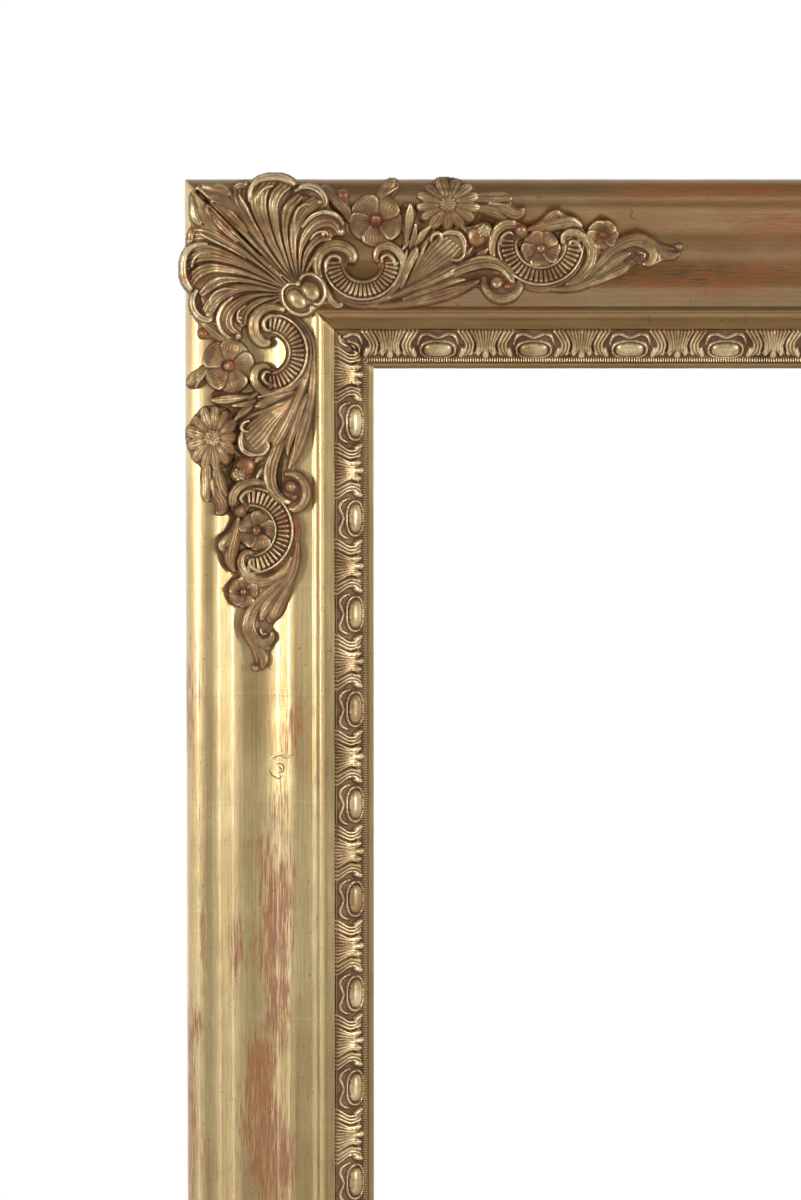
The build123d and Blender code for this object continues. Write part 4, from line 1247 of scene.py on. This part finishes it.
def palmetteOrnament(finish):
    whole, split = palmetteShape(False), palmetteShape(True)
    for corner in corners:
        shape = split if corner == "topLeft" else whole
        along, across, h = drape(shape, True)
        both = (np.concatenate(pair) for pair in ((along, across), (across, along), (h, h)))
        count = len(along)
        faces = shape[1] + [tuple(index + count for index in reversed(face)) for face in shape[1]]
        marks = {key: np.tile(values, 2) for key, values in shape[2].items()}
        ornament(corner + "Palmette", cornerPoints(corner, *both), faces, marks, finish)


def claspOrnament(finish):
    shape = modelled(claspShape(), spacing=casting["fineSpacing"])
    along, across, h = drape(shape, True)
    for corner in corners:
        ornament(corner + "Clasp", cornerPoints(corner, along, across, h), *shape[1:], finish)


# Blisters and cracks in the gesso, and a painted shadow under the lifted flake; places are (x, y) in the
# photograph, upright ones on the left rail
gessoMarks = {
    "leftRailFlake": {
        "upright": True,
        # the flake's lifted lip is painted at the bright end as a painted highlight
        "crest": 1.0,
        "lines": [
            [(272.5, 755), (276, 751.4), (280, 750), (285, 748.7), (290, 751), (294, 750), (298.7, 750.2)],
        ],
        "size": (0.75, 1.0),
    },
    "leftRailKnot": {
        "upright": True,
        "crest": 0.08,
        "lines": [
            # a dark line just under the flake's lip: painted shadow; the lines after it are real cracks
            [(275.4, 754.2), (279, 751.9), (284, 750.4), (288.6, 752.4), (293, 751.8)],
            [(272, 764.5), (273.7, 768.7), (278.7, 772.5), (282.5, 773), (286, 770)],
            [(279, 760), (283, 758), (287, 761), (286, 766), (281, 767.5)],
            [(282, 762), (284.5, 763.5), (283, 766)],
        ],
        "size": (0.5, 0.6),
    },
    "topRailCracks": {
        "upright": False,
        "crest": 0.05,
        "lines": [
            [(644.5, 308.5), (648, 314), (646.5, 320), (649, 327)],
            [(742, 309), (744.5, 315), (743, 321), (745, 327)],
            [(626, 207), (630, 211), (628, 216), (633, 220)],
        ],
        "size": (0.42, 0.3),
    },
}

gessoLine = {"step": 1.0, "foot": 0.8, "endHalf": 0.5, "endRise": 0.4, "smoothAngle": 60}


def gessoMark(name, finish):
    spec, g = gessoMarks[name], gessoLine
    half, rise = spec["size"]
    toEdge = plan["cornerX"] - plan["edgeY"]
    shapes = []
    for line in spec["lines"]:
        if spec["upright"]:
            line = [(y + toEdge, x - toEdge) for x, y in line]
        stations = [(x, y, half, rise) for x, y in line]
        for end in (0, -1):
            stations[end] = (*line[end], half * g["endHalf"], rise * g["endRise"])
        shapes.append(leaf(stations, 1, groove=0, step=g["step"], foot=g["foot"]))
    shape = joinShapes(shapes)
    along, across, h = drape(shape, False)
    pair = (across, along) if spec["upright"] else (along, across)
    marks = {"crest": np.full(len(h), spec["crest"]), **shape[2]}
    points = cornerPoints("topLeft", *pair, h)
    piece = meshObject(name, points, shape[1], finish, marks, g["smoothAngle"])
    onFrame(piece, dressesNode=False)


# The run ornament on the sight band, drawn from the middle of a leaf cluster.
# oval: half length and height, half width of its rim, rise, power; cabochon: the same, with its edge's rise
bandMotif = {
    "pitch": 95.4,
    "topLine": 329.0,
    "footLine": 356.5,
    "lastLine": 361.0,
    "halfPitch": 47.7,
    "ovalLine": 347.3,
    "oval": (17.2, 9.3, 0.95, 3.4, 2.5),
    "cabochon": (13.9, 7.0, 1.2, 6.4, 2.6),
    "ground": 0.3,
    "frame": [
        (48.5, 335.4, 0.9, 2.7), (43, 333.6, 1.1, 3.1), (37.5, 331.5, 1.3, 3.5), (32.5, 332.4, 1.3, 3.5),
        (29, 336.6, 1.2, 3.2), (27.8, 342, 1.0, 2.8),
    ],
    "blades": [
        ([(1.2, 328.6), (1, 336), (0.6, 343), (1, 350)], [(16.8, 328.6), (12.3, 335), (9.6, 341), (10.5, 347),
            (13, 352)], 4, (2.8, 3.4, 4.2, 5.2, 4.0)),
        ([(17.4, 328.6), (13.4, 335), (10.9, 341), (12.3, 347), (15.4, 352.5)], [(30, 328.6), (25.6, 334),
            (21.6, 339.5), (21.6, 345.5), (26.6, 354.6)], 3, (3.0, 3.6, 4.4, 5.6, 4.2)),
    ],
    "tips": [
        [(7.4, 346, 2.0, 4.2), (7.6, 350, 2.6, 5.4), (8.2, 353.8, 2.1, 4.6)],
        [(13.2, 347, 1.6, 4.0), (14.4, 350, 2.2, 5.2), (15.6, 353, 1.7, 4.6)],
        [(22, 345, 2.0, 4.4), (23.4, 349.5, 3.2, 5.7), (25.8, 355, 2.4, 5.0)],
    ],
    "stem": [
        (0, 328, 1.2, 3.0), (0, 338, 1.2, 3.6), (0, 347, 2.4, 4.8), (0, 352, 4.0, 5.9), (0, 356.8, 3.4, 5.2),
    ],
    "millPitch": 2.4,
    "millLines": (356.6, 360.7),
    "firstOval": {"level": 42.7 * mm, "upright": 36.0 * mm},
    "pixel": 63.7 * mm / 95.4,
    "spacing": 0.92,
    "ovalFloor": 0.6,
    "flatLine": 353,
    "flatRise": 0.5,
    "millBed": 1.3,
    "soften": 0.32,
    "lapDrop": 0.3,
    "foot": -2.0,
    "lead": 12 * mm,
    "millEnd": 16 * mm,
    "relief": 0.9,
    # how bright the band is painted: a painted highlight where it stands proud and painted shade in its
    # hollows; the bed of the milled edge is set dark as painted shade and grime
    "crest": {
        "reach": 1.7,
        "level": 0.46,
        "proud": 0.34,
        "high": 0.09,
        "middle": 3.4,
        "most": 0.8,
        "stone": 0.60,
        "mill": 0.15,
    },
}


def bandShapes():
    m = bandMotif
    cut = {"foot": 2.5, "groove": 0.3, "step": 1.6}
    half = [panel(left, right, flutes, rises, groove=0.85) for left, right, flutes, rises in m["blades"]]
    half += [leaf(line, 1, edge=0.5, **cut) for line in m["tips"]]
    half.append(leaf(m["frame"], 1, edge=0.3, roundRoot=True, **cut))
    half = joinShapes(half)
    return joinShapes([half, mirrored(half), leaf(m["stem"], 1, edge=0.5, **cut)])


def bandTile():
    # one pitch of the strip, from leaf cluster to leaf cluster, with a little lap at each end
    m = bandMotif
    lap, fine = 2 * m["spacing"], m["spacing"] / 2
    xs = np.arange(-lap, m["pitch"] + lap + fine / 2, fine)
    ys = np.arange(m["topLine"] + 0.6, m["lastLine"] + 0.2, fine)
    cluster = bandShapes()
    heights, reds = seenFromAbove(joinShapes([cluster, movedShape(cluster, m["pitch"], 0)]), xs, ys)
    x, y = np.meshgrid(xs - m["halfPitch"], ys - m["ovalLine"])
    far, depth = np.hypot(x, y), y + m["ovalLine"]
    wide, high, half, rise, power = m["oval"]
    rim = (np.abs(x / wide) ** power + np.abs(y / high) ** power) ** (1 / power)
    away = (rim - 1) * far / np.maximum(rim, 0.1) * (0.75 + 0.25 * np.abs(y) / np.maximum(far, 0.1))
    heights = np.where(rim < 1.1, m["ovalFloor"], heights)
    heights = np.maximum(heights, rise * np.sqrt(np.clip(1 - (away / half) ** 2, 0, 1)))
    wide, high, low, rise, power = m["cabochon"]
    stone = np.clip(1 - (np.abs(x / wide) ** power + np.abs(y / high) ** power), 0, 1) ** 0.5
    heights = np.maximum(heights, np.where(stone > 0, low + (rise - low) * stone, nothing))
    mill = depth > m["millLines"][0] - 0.2
    flat = np.where(depth > m["flatLine"], m["flatRise"], m["ground"])
    heights = blurred(np.maximum(heights, np.where(mill, m["millBed"], flat)), m["soften"] / fine)[::2, ::2]
    stone, mill = stone[::2, ::2], mill[::2, ::2]
    # painted highlight and shade from the band's relief; the cabochon is set to one level and the milled bed
    # to painted shade
    c = m["crest"]
    around = blurred(heights, c["reach"] / m["spacing"])
    crest = c["level"] + c["proud"] * (heights - around) + c["high"] * (heights - c["middle"])
    crest = np.where(stone > 0.25, c["stone"], np.clip(crest, 0.0, c["most"]))
    crest = np.where(mill, c["mill"], crest)
    heights[:, :2] -= m["lapDrop"]
    heights[:, -2:] -= m["lapDrop"]
    return skinShape(xs[::2], ys[::2], heights, crest, reds[::2, ::2], m["foot"])


def millShape():
    # one bead of the milled edge: x, rise, and how bright it is painted, rubbed gold with a painted highlight
    # on top and painted shade at its foot
    profile = ((-0.62, -2.0, 0.3), (-0.55, 2.3, 0.9), (0, 3.2, 1.0), (0.55, 2.3, 0.9), (0.62, -2.0, 0.3))
    points = [(x, y, rise) for y in bandMotif["millLines"] for x, rise, _ in profile]
    crest = np.tile([light for _, _, light in profile], 2)
    return np.array(points), loftFaces(2, len(profile)), {"crest": crest, "red": np.zeros(len(crest))}


def trimAtMitres(piece, rail, gap):
    def place(along, v):
        return Vector(railPoint(rail, *np.array([[along], [v], [0.0]]))[0])

    bm = bmesh.new()
    bm.from_mesh(piece.data)
    for along, way in ((0.0, 1), (railLength(rail), -1)):
        corner = place(along, 0.0)
        inward = place(along + way, 0.0) - corner
        direction = inward - (place(along, 1.0) - corner)
        whole = bm.verts[:] + bm.edges[:] + bm.faces[:]
        cut = bmesh.ops.bisect_plane(
            bm, geom=whole, plane_co=corner + inward * gap, plane_no=direction, clear_inner=True
        )
        edges = [item for item in cut["geom_cut"] if isinstance(item, bmesh.types.BMEdge)]
        bmesh.ops.holes_fill(bm, edges=edges, sides=0)
    bm.to_mesh(piece.data)
    bm.free()


def bandOrnament(rail, motif, mill, finish):
    m = bandMotif
    pixel = m["pixel"]
    pitch, length = m["pitch"] * pixel, railLength(rail)
    level = rail in ("top", "bottom")
    first = railWidth + m["firstOval"]["level" if level else "upright"] - m["halfPitch"] * pixel
    start = first - math.ceil((first - mouldingEdge + m["lead"]) / pitch) * pitch
    count = int((length - mouldingEdge - start) / pitch) + 2
    rows = repeated(row, motif, finish, {"Count": count, "Start": start / pixel, "Pitch": m["pitch"]})
    millStart = (mouldingEdge + m["millEnd"]) / pixel
    millCount = int((length - 2 * mouldingEdge - 2 * m["millEnd"]) / pixel / m["millPitch"])
    edge = repeated(row, mill, finish, {"Count": millCount, "Start": millStart, "Pitch": m["millPitch"]})
    points, faces, marks = joinShapes([rows, edge])
    along, rise = points[:, 0] * pixel, points[:, 2] * pixel * m["relief"]
    v, h, leanIn, leanOut = bandPlace((points[:, 1] - m["topLine"]) / (m["footLine"] - m["topLine"]))
    points = railPoint(rail, along, v + rise * leanIn, h + rise * leanOut)
    piece = meshObject(rail + "BandOrnament", points, faces, finish, marks, casting["smoothAngle"])
    trimAtMitres(piece, rail, sight["mitreGap"])
    onFrame(piece, dressesNode=False)


# The finishes' node trees
def mixed(tree, factor, a, b, mode="MIX"):
    ends = [end if isinstance(end, bpy.types.NodeSocket) else (*end, 1) for end in (a, b)]
    feeds = {0: factor, 6: ends[0], 7: ends[1]}
    return put(tree, "ShaderNodeMix", feeds, data_type="RGBA", blend_type=mode).outputs[2]


def tinted(tree, colour, other, mask, amount):
    return mixed(tree, reckon(tree, "MULTIPLY", mask, amount), colour, other)


def cloud(tree, where, scale, detail=3.0, rough=0.55, twist=0.0):
    feeds = {"Vector": where, "Scale": scale, "Detail": detail, "Roughness": rough, "Distortion": twist}
    return put(tree, "ShaderNodeTexNoise", feeds).outputs["Fac"]


def stretched(tree, where, scale, move=(0, 0, 0)):
    return put(tree, "ShaderNodeMapping", {"Vector": where, "Scale": scale, "Location": move}).outputs[0]


def spread(tree, value, low, high, toLow=0.0, toHigh=1.0):
    feeds = {"Value": value, "From Min": low, "From Max": high, "To Min": toLow, "To Max": toHigh}
    return put(tree, "ShaderNodeMapRange", feeds, interpolation_type="SMOOTHSTEP").outputs[0]


def ramped(tree, value, stops):
    made = put(tree, "ShaderNodeValToRGB", {0: value})
    bar = made.color_ramp
    while len(bar.elements) < len(stops):
        bar.elements.new(0.5)
    for element, (place, colour) in zip(bar.elements, stops):
        element.position = place
        element.color = (*colour, 1)
    return made.outputs[0]


def mark(tree, name):
    return put(tree, "ShaderNodeAttribute", attribute_name=name, attribute_type="GEOMETRY").outputs["Fac"]


def bumped(tree, height, strength, distance, under=None):
    feeds = {"Height": height, "Strength": strength, "Distance": distance}
    if under is not None:
        feeds["Normal"] = under
    return put(tree, "ShaderNodeBump", feeds).outputs[0]


def startFinish(name, fixed):
    finish = bpy.data.materials.new(name)
    finish.use_nodes = True
    tree = finish.node_tree
    skin = tree.nodes["Principled BSDF"]
    for key, value in fixed.items():
        skin.inputs[key].default_value = value
    where = put(tree, "ShaderNodeTexCoord").outputs["Object"]
    return finish, tree, skin, where


# Burnished leaf on red bole: squares with their laps, brush streaks, the cloth's weave, rubbed places
railGilding = {
    "gold": (0.74, 0.55, 0.235),
    "paleGold": (0.86, 0.70, 0.35),
    "dullGold": (0.50, 0.34, 0.16),
    "thinGold": (0.415, 0.212, 0.072),
    "bole": (0.33, 0.092, 0.026),
    "dirt": (0.075, 0.045, 0.024),
    "fixed": {
        "Anisotropic": 0.82, "Anisotropic Rotation": 0.25, "Coat Weight": 1.0, "Coat Roughness": 0.13,
    },
    "leafSide": 72.5 * mm,
    "leafLonger": 1.02,
    "leafStart": (0.31, 0.12, 0),
    "lapWidth": {"X": (0.045, 0.02), "Y": (0.04, 0.02)},
    "lapJog": 0.05,
    "toneShare": 0.22,
    "lapShare": 0.25,
    "streakShare": 0.5,
    "linenShare": 0.5,
    "grimeShare": 0.25,
    "speckShare": 0.7,
    "worn": (1.90, 2.45, 0.0, 0.82),
    "metallic": 0.9,
    "roughness": (0.23, 0.33),
}


def gildedRail():
    g = railGilding
    finish, tree, skin, where = startFinish("leafOnBole", g["fixed"])
    link = tree.links.new
    lay = put(tree, "ShaderNodeUVMap", uv_map="lay").outputs[0]

    def brushed(along, across, detail, rough, twist=0.0):
        return cloud(tree, stretched(tree, lay, (along, across, 1)), 1.0, detail, rough, twist)

    side = g["leafSide"]
    squares = stretched(tree, lay, (1 / side, 1 / (side * g["leafLonger"]), 1), g["leafStart"])
    cell = put(tree, "ShaderNodeVectorMath", {0: squares}, operation="FLOOR").outputs[0]
    tone = put(tree, "ShaderNodeTexWhiteNoise", {"Vector": cell}, noise_dimensions="2D").outputs["Value"]
    inside = put(tree, "ShaderNodeVectorMath", {0: squares}, operation="FRACTION").outputs[0]
    parts = put(tree, "ShaderNodeSeparateXYZ", {0: inside}).outputs
    jog = reckon(tree, "MULTIPLY_ADD", cloud(tree, where, 60.0, 4.0), g["lapJog"], -g["lapJog"] / 2)
    laps = g["lapWidth"].items()
    laps = (spread(tree, reckon(tree, "ADD", parts[key], jog), *width) for key, width in laps)
    lap = reckon(tree, "MAXIMUM", *laps)
    slow = cloud(tree, where, 7.0, 4.0, 0.6)
    streaks = brushed(7, 380, 5.0, 0.62)
    fine = brushed(60, 900, 3.0, 0.6)
    weave = brushed(1100, 90, 3.0, 0.6)
    patches = brushed(16, 60, 5.0, 0.62, 0.3)
    linen = spread(tree, weave, 0.36, 0.62, 0.5, 1.0)
    linen = reckon(tree, "MULTIPLY", spread(tree, fine, 0.40, 0.66), linen)
    gold = mixed(tree, spread(tree, slow, 0.35, 0.7), g["gold"], g["paleGold"])
    gold = tinted(tree, gold, g["dullGold"], tone, g["toneShare"])
    gold = tinted(tree, gold, g["paleGold"], lap, g["lapShare"])
    gold = tinted(tree, gold, g["dullGold"], spread(tree, streaks, 0.44, 0.70), g["streakShare"])
    gold = tinted(tree, gold, g["dullGold"], linen, g["linenShare"])
    thinness = reckon(tree, "MULTIPLY_ADD", patches, 0.8, reckon(tree, "SUBTRACT", mark(tree, "thin"), 0.40))
    thinness = reckon(tree, "SUBTRACT", thinness, 0.25)
    thinness = reckon(tree, "MULTIPLY_ADD", streaks, 0.5, thinness, clamp=True)
    gold = mixed(tree, thinness, gold, g["thinGold"])
    rubbed = reckon(tree, "MULTIPLY_ADD", mark(tree, "worn"), 0.66, reckon(tree, "MULTIPLY", patches, 0.62))
    rubbed = reckon(tree, "MULTIPLY_ADD", streaks, 0.60, reckon(tree, "MULTIPLY_ADD", fine, 2.1, rubbed))
    worn = spread(tree, rubbed, *g["worn"])
    specks = spread(tree, cloud(tree, where, 380.0, 2.0, 0.5), 0.70, 0.75)
    grime = spread(tree, cloud(tree, where, 24.0, 5.0, 0.65), 0.58, 0.78)
    colour = mixed(tree, worn, gold, g["bole"])
    colour = tinted(tree, colour, g["dirt"], grime, g["grimeShare"])
    colour = tinted(tree, colour, g["dirt"], specks, g["speckShare"])
    link(colour, skin.inputs["Base Color"])
    link(reckon(tree, "MULTIPLY_ADD", worn, -0.75, g["metallic"]), skin.inputs["Metallic"])
    sheen = reckon(tree, "MULTIPLY_ADD", fine, 0.14, spread(tree, slow, 0.3, 0.75, *g["roughness"]))
    link(reckon(tree, "MULTIPLY_ADD", worn, 0.12, sheen), skin.inputs["Roughness"])
    tangent = put(tree, "ShaderNodeTangent", direction_type="UV_MAP", uv_map="lay")
    link(tangent.outputs[0], skin.inputs["Tangent"])
    normal = bumped(tree, cloud(tree, where, 30.0, 3.0), 0.2, 1.2 * mm)
    normal = bumped(tree, reckon(tree, "MULTIPLY_ADD", weave, 0.5, fine), 0.45, 0.25 * mm, normal)
    pits = reckon(tree, "MULTIPLY_ADD", specks, -1.0, reckon(tree, "MULTIPLY", lap, 0.6))
    link(bumped(tree, pits, 0.3, 0.2 * mm, normal), skin.inputs["Normal"])
    return finish


# Dull leaf on pressed composition: grime and painted shade in the hollows, old gold on the crests, rubbed
# gold and a painted highlight on the highest
castGilding = {
    "stops": (
        (0.05, (0.130, 0.072, 0.040)), (0.32, (0.265, 0.150, 0.078)),
        (0.62, (0.455, 0.303, 0.135)), (0.95, (0.900, 0.745, 0.455)),
    ),
    "bole": (0.34, 0.100, 0.042),
    "plum": (0.215, 0.112, 0.072),
    "fixed": {"Metallic": 0.70},
}


def gildedCast(name, lift=0.0, plum=0.42, stained=0.62):
    g = castGilding
    finish, tree, skin, where = startFinish(name, g["fixed"])
    link = tree.links.new
    blotch = cloud(tree, where, 46.0, 5.0, 0.62)
    grain = cloud(tree, where, 420.0, 3.0, 0.6)
    # painted highlight and rubbing where the mark is high, painted shade and grime where it is low
    height = reckon(tree, "MULTIPLY_ADD", mark(tree, "crest"), 1.0, lift - 0.66)
    height = reckon(tree, "MULTIPLY_ADD", blotch, 1.25, height)
    height = reckon(tree, "MULTIPLY_ADD", grain, 0.30, reckon(tree, "SUBTRACT", height, 0.15))
    # plum stain, laid on more strongly where the relief is low: real tarnish with painted shade in the
    # hollows
    stain = spread(tree, cloud(tree, where, 32.0, 5.0, 0.68, 0.4), 0.44, 0.68, 0.0, plum)
    gold = tinted(tree, ramped(tree, height, g["stops"]), g["plum"], stain, spread(tree, height, 0.9, 0.5))
    redness = spread(tree, cloud(tree, where, 70.0, 5.0, 0.7, 0.6), 0.52, 0.68, 0.0, stained)
    redness = reckon(tree, "MULTIPLY_ADD", mark(tree, "red"), 0.9, redness, clamp=True)
    colour = tinted(tree, gold, g["bole"], redness, spread(tree, grain, 0.3, 0.5, 0.55, 1.0))
    link(colour, skin.inputs["Base Color"])
    sheen = spread(tree, height, 0.2, 0.9, 0.46, 0.22)
    link(reckon(tree, "MULTIPLY_ADD", grain, 0.22, sheen), skin.inputs["Roughness"])
    normal = bumped(tree, grain, 0.4, 0.3 * mm, bumped(tree, blotch, 0.25, 0.8 * mm))
    link(normal, skin.inputs["Normal"])
    return finish


# How wide the grain is drawn out along its own way, and how narrow across it
woodGrain = {"along": 1.6, "across": 34, "fibre": 12}


def pineFinish(name, way, pale, dark, rough):
    w = woodGrain
    finish, tree, skin, where = startFinish(name, {})
    link = tree.links.new
    scale = [w["along"] if axis == way else w["across"] for axis in "XYZ"]
    bands = cloud(tree, stretched(tree, where, scale), 1.0, 3.0, 0.5, 1.6)
    rings = reckon(tree, "FRACT", reckon(tree, "MULTIPLY", bands, 9.0))
    fibre = cloud(tree, stretched(tree, where, [value * w["fibre"] for value in scale]), 1.0, 4.0, 0.65)
    stain = spread(tree, cloud(tree, where, 9.0, 5.0, 0.65), 0.45, 0.75)
    wood = mixed(tree, spread(tree, rings, 0.1, 0.95), pale, dark)
    wood = tinted(tree, wood, dark, spread(tree, fibre, 0.4, 0.7), 0.4)
    wood = tinted(tree, wood, tuple(value * 0.35 for value in dark), stain, 0.45)
    link(wood, skin.inputs["Base Color"])
    link(reckon(tree, "MULTIPLY_ADD", fibre, 0.2, rough), skin.inputs["Roughness"])
    link(bumped(tree, fibre, 0.4, 0.4 * mm), skin.inputs["Normal"])
    return finish


def metalFinish(name, bright, tarnish, rough, tarnishShare):
    finish, tree, skin, where = startFinish(name, {"Metallic": 0.9})
    link = tree.links.new
    patches = cloud(tree, where, 120.0, 5.0, 0.65)
    scratches = cloud(tree, stretched(tree, where, (40, 40, 400)), 6.0, 3.0, 0.6)
    share = spread(tree, patches, 0.62 - tarnishShare * 0.35, 0.78 - tarnishShare * 0.3)
    metal = mixed(tree, scratches, bright, tuple(value * 0.8 for value in bright))
    link(mixed(tree, share, metal, tarnish), skin.inputs["Base Color"])
    sheen = reckon(tree, "MULTIPLY_ADD", scratches, 0.12, rough)
    link(reckon(tree, "MULTIPLY_ADD", share, 0.25, sheen), skin.inputs["Roughness"])
    link(bumped(tree, reckon(tree, "ADD", scratches, patches), 0.2, 0.2 * mm), skin.inputs["Normal"])
    return finish


say("mixing the finishes")
railFinish = gildedRail()
castFinish = gildedCast("leafOnCasts")
claspFinish = gildedCast("leafOnClasps", 0.21, 0.1)
bandFinish = gildedCast("leafOnBand", 0.17, 0.05, 0.2)
pineLevel, pineUpright = (
    pineFinish(name, way, (0.52, 0.33, 0.16), (0.30, 0.16, 0.07), 0.62)
    for name, way in (("pineLevel", "X"), ("pineUpright", "Z"))
)
carried = {
    "key_wood": pineFinish("keyWood", "X", (0.36, 0.19, 0.09), (0.20, 0.09, 0.04), 0.5),
    "strap_steel": metalFinish("strapSteel", (0.42, 0.41, 0.39), (0.16, 0.085, 0.045), 0.42, 0.6),
    "ring_steel": metalFinish("ringSteel", (0.50, 0.49, 0.47), (0.17, 0.10, 0.06), 0.34, 0.45),
    "screw_steel": metalFinish("screwSteel", (0.46, 0.45, 0.43), (0.14, 0.085, 0.05), 0.38, 0.6),
    "brass": metalFinish("buttonBrass", (0.78, 0.57, 0.25), (0.26, 0.17, 0.08), 0.3, 0.4),
}

say("running the mouldings")
ring, row = ringTree(), rowTree()
for rail in railNames:
    sweptRail(rail, "CoveMoulding", coveSection(), cove, railFinish)
    sweptRail(rail, "SightMoulding", sightSection(), sight, railFinish)

say("pressing the run ornament of the band")
motif, mill = bandTile(), millShape()
for rail in railNames:
    bandOrnament(rail, motif, mill, bandFinish)

say("casting the corner ornaments")
palmetteOrnament(castFinish)
claspOrnament(claspFinish)
scrolls = joinShapes([scrollShape(scroll, castFinish) for scroll in (largeScroll, smallScroll)])
armOrnament("Scrolls", modelled(scrolls), castFinish)
armOrnament("Foliage", modelled(foliageShape()), castFinish)
blossoms = joinShapes([flowerShape(flower, castFinish) for flower in flowers.values()])
modelledFlowers = modelled(blossoms, spacing=casting["fineSpacing"], groundShare=casting["flowerGroundShare"])
armOrnament("Flowers", modelledFlowers, castFinish)

say("marking the gesso")
for name in gessoMarks:
    gessoMark(name, claspFinish)

say("finishing the back")
slotOf = {entry["node"]: entry["material_slot"] for entry in frame["record"]["subparts"]}
for name, part in frame["nodes"].items():
    finish = carried.get(slotOf.get(name))
    if slotOf.get(name) == "pine":
        finish = pineLevel if name.startswith(("top", "bottom")) else pineUpright
    if finish:
        for place in part.material_slots:
            place.material = finish

say("setting the camera and the lamps")
photoView = {
    "place": (-0.3801, -2.5, -0.0917),
    "tilt": 87.0,
    "lens": 110.65,
    "sensor": 36.0,
    "clip": (0.05, 60),
}

camera = placed("photoCamera", bpy.data.cameras.new("photoCamera"))
camera.location = photoView["place"]
camera.rotation_euler = (math.radians(photoView["tilt"]), 0, 0)
camera.data.lens = photoView["lens"]
camera.data.sensor_width = photoView["sensor"]
camera.data.clip_start, camera.data.clip_end = photoView["clip"]
bpy.context.scene.camera = camera

studio = {
    "leftUpper": {"place": (-2.5, -1.5, 0.05), "aim": (-0.4, 0, -0.15), "size": (0.3, 1.1), "power": 22.5},
    "leftLower": {"place": (-2.5, -1.5, -1.1), "aim": (-0.4, 0, -0.8), "size": (0.3, 1.1), "power": 2.5},
    "rightUpper": {"place": (1.9, -1.3, 0.05), "aim": (-0.3, 0, -0.15), "size": (0.3, 1.1), "power": 19.5},
    "rightLower": {"place": (1.9, -1.3, -1.1), "aim": (-0.3, 0, -0.8), "size": (0.3, 1.1), "power": 3.5},
    "front": {"place": (-0.6, -4.0, 1.0), "aim": (-0.2, 0, -0.4), "size": (2.4, 1.4), "power": 8.5},
}

for name, lamp in studio.items():
    light = bpy.data.lights.new(name + "Softbox", "AREA")
    light.shape = "RECTANGLE"
    light.size, light.size_y = lamp["size"]
    light.energy = lamp["power"]
    stand = placed(name + "Softbox", light)
    stand.location = lamp["place"]
    stand.rotation_euler = (Vector(lamp["aim"]) - Vector(lamp["place"])).to_track_quat("-Z", "Y").to_euler()

# White to the camera; what the gilding mirrors is a room that is darker in front, above and below.
# A place is where its light begins, where it is full, and how bright it is
room = {
    "ambient": (0.50, 0.49, 0.48),
    "front": 0.16,
    "beside": (0.05, 0.6, 0.56),
    "behind": (-0.2, 0.6, 1.0),
    "overhead": (0.25, 0.75, 0.6),
    "below": (-0.1, -0.6, 0.55),
}


def towards(tree, way, place, before):
    low, high, light = room[place]
    return spread(tree, way, low, high, before, light)


world = bpy.data.worlds.new("paleStudio")
world.use_nodes = True
bpy.context.scene.world = world
tree = world.node_tree
paths = put(tree, "ShaderNodeLightPath").outputs
way = put(tree, "ShaderNodeSeparateXYZ", {0: put(tree, "ShaderNodeTexCoord").outputs["Generated"]}).outputs
glimpse = towards(tree, reckon(tree, "ABSOLUTE", way["X"]), "beside", room["front"])
glimpse = towards(tree, way["Y"], "behind", glimpse)
for place in ("overhead", "below"):
    glimpse = reckon(tree, "MULTIPLY", glimpse, towards(tree, way["Z"], place, 1.0))
seen = reckon(tree, "MAXIMUM", paths["Is Camera Ray"], paths["Is Transmission Ray"])
shine = mixed(tree, paths["Is Glossy Ray"], room["ambient"], glimpse)
tree.links.new(mixed(tree, seen, shine, (1, 1, 1)), tree.nodes["Background"].inputs["Color"])

paleFloor = {"radius": 1.9, "sides": 96, "drop": 0.5 * mm, "shades": ((0.86, 0.86, 0.85), (0.90, 0.90, 0.89))}
bm = bmesh.new()
bmesh.ops.create_circle(bm, cap_ends=True, segments=paleFloor["sides"], radius=paleFloor["radius"])
mesh = bpy.data.meshes.new("floor")
bm.to_mesh(mesh)
bm.free()
floor = placed("floor", mesh)
floor.location = (0, 0, bottomEdge - paleFloor["drop"])
finish, tree, skin, where = startFinish("paleFloor", {"Roughness": 0.7})
tree.links.new(mixed(tree, cloud(tree, where, 3.0), *paleFloor["shades"]), skin.inputs["Base Color"])
mesh.materials.append(finish)

bpy.context.scene.view_settings.view_transform = "Standard"
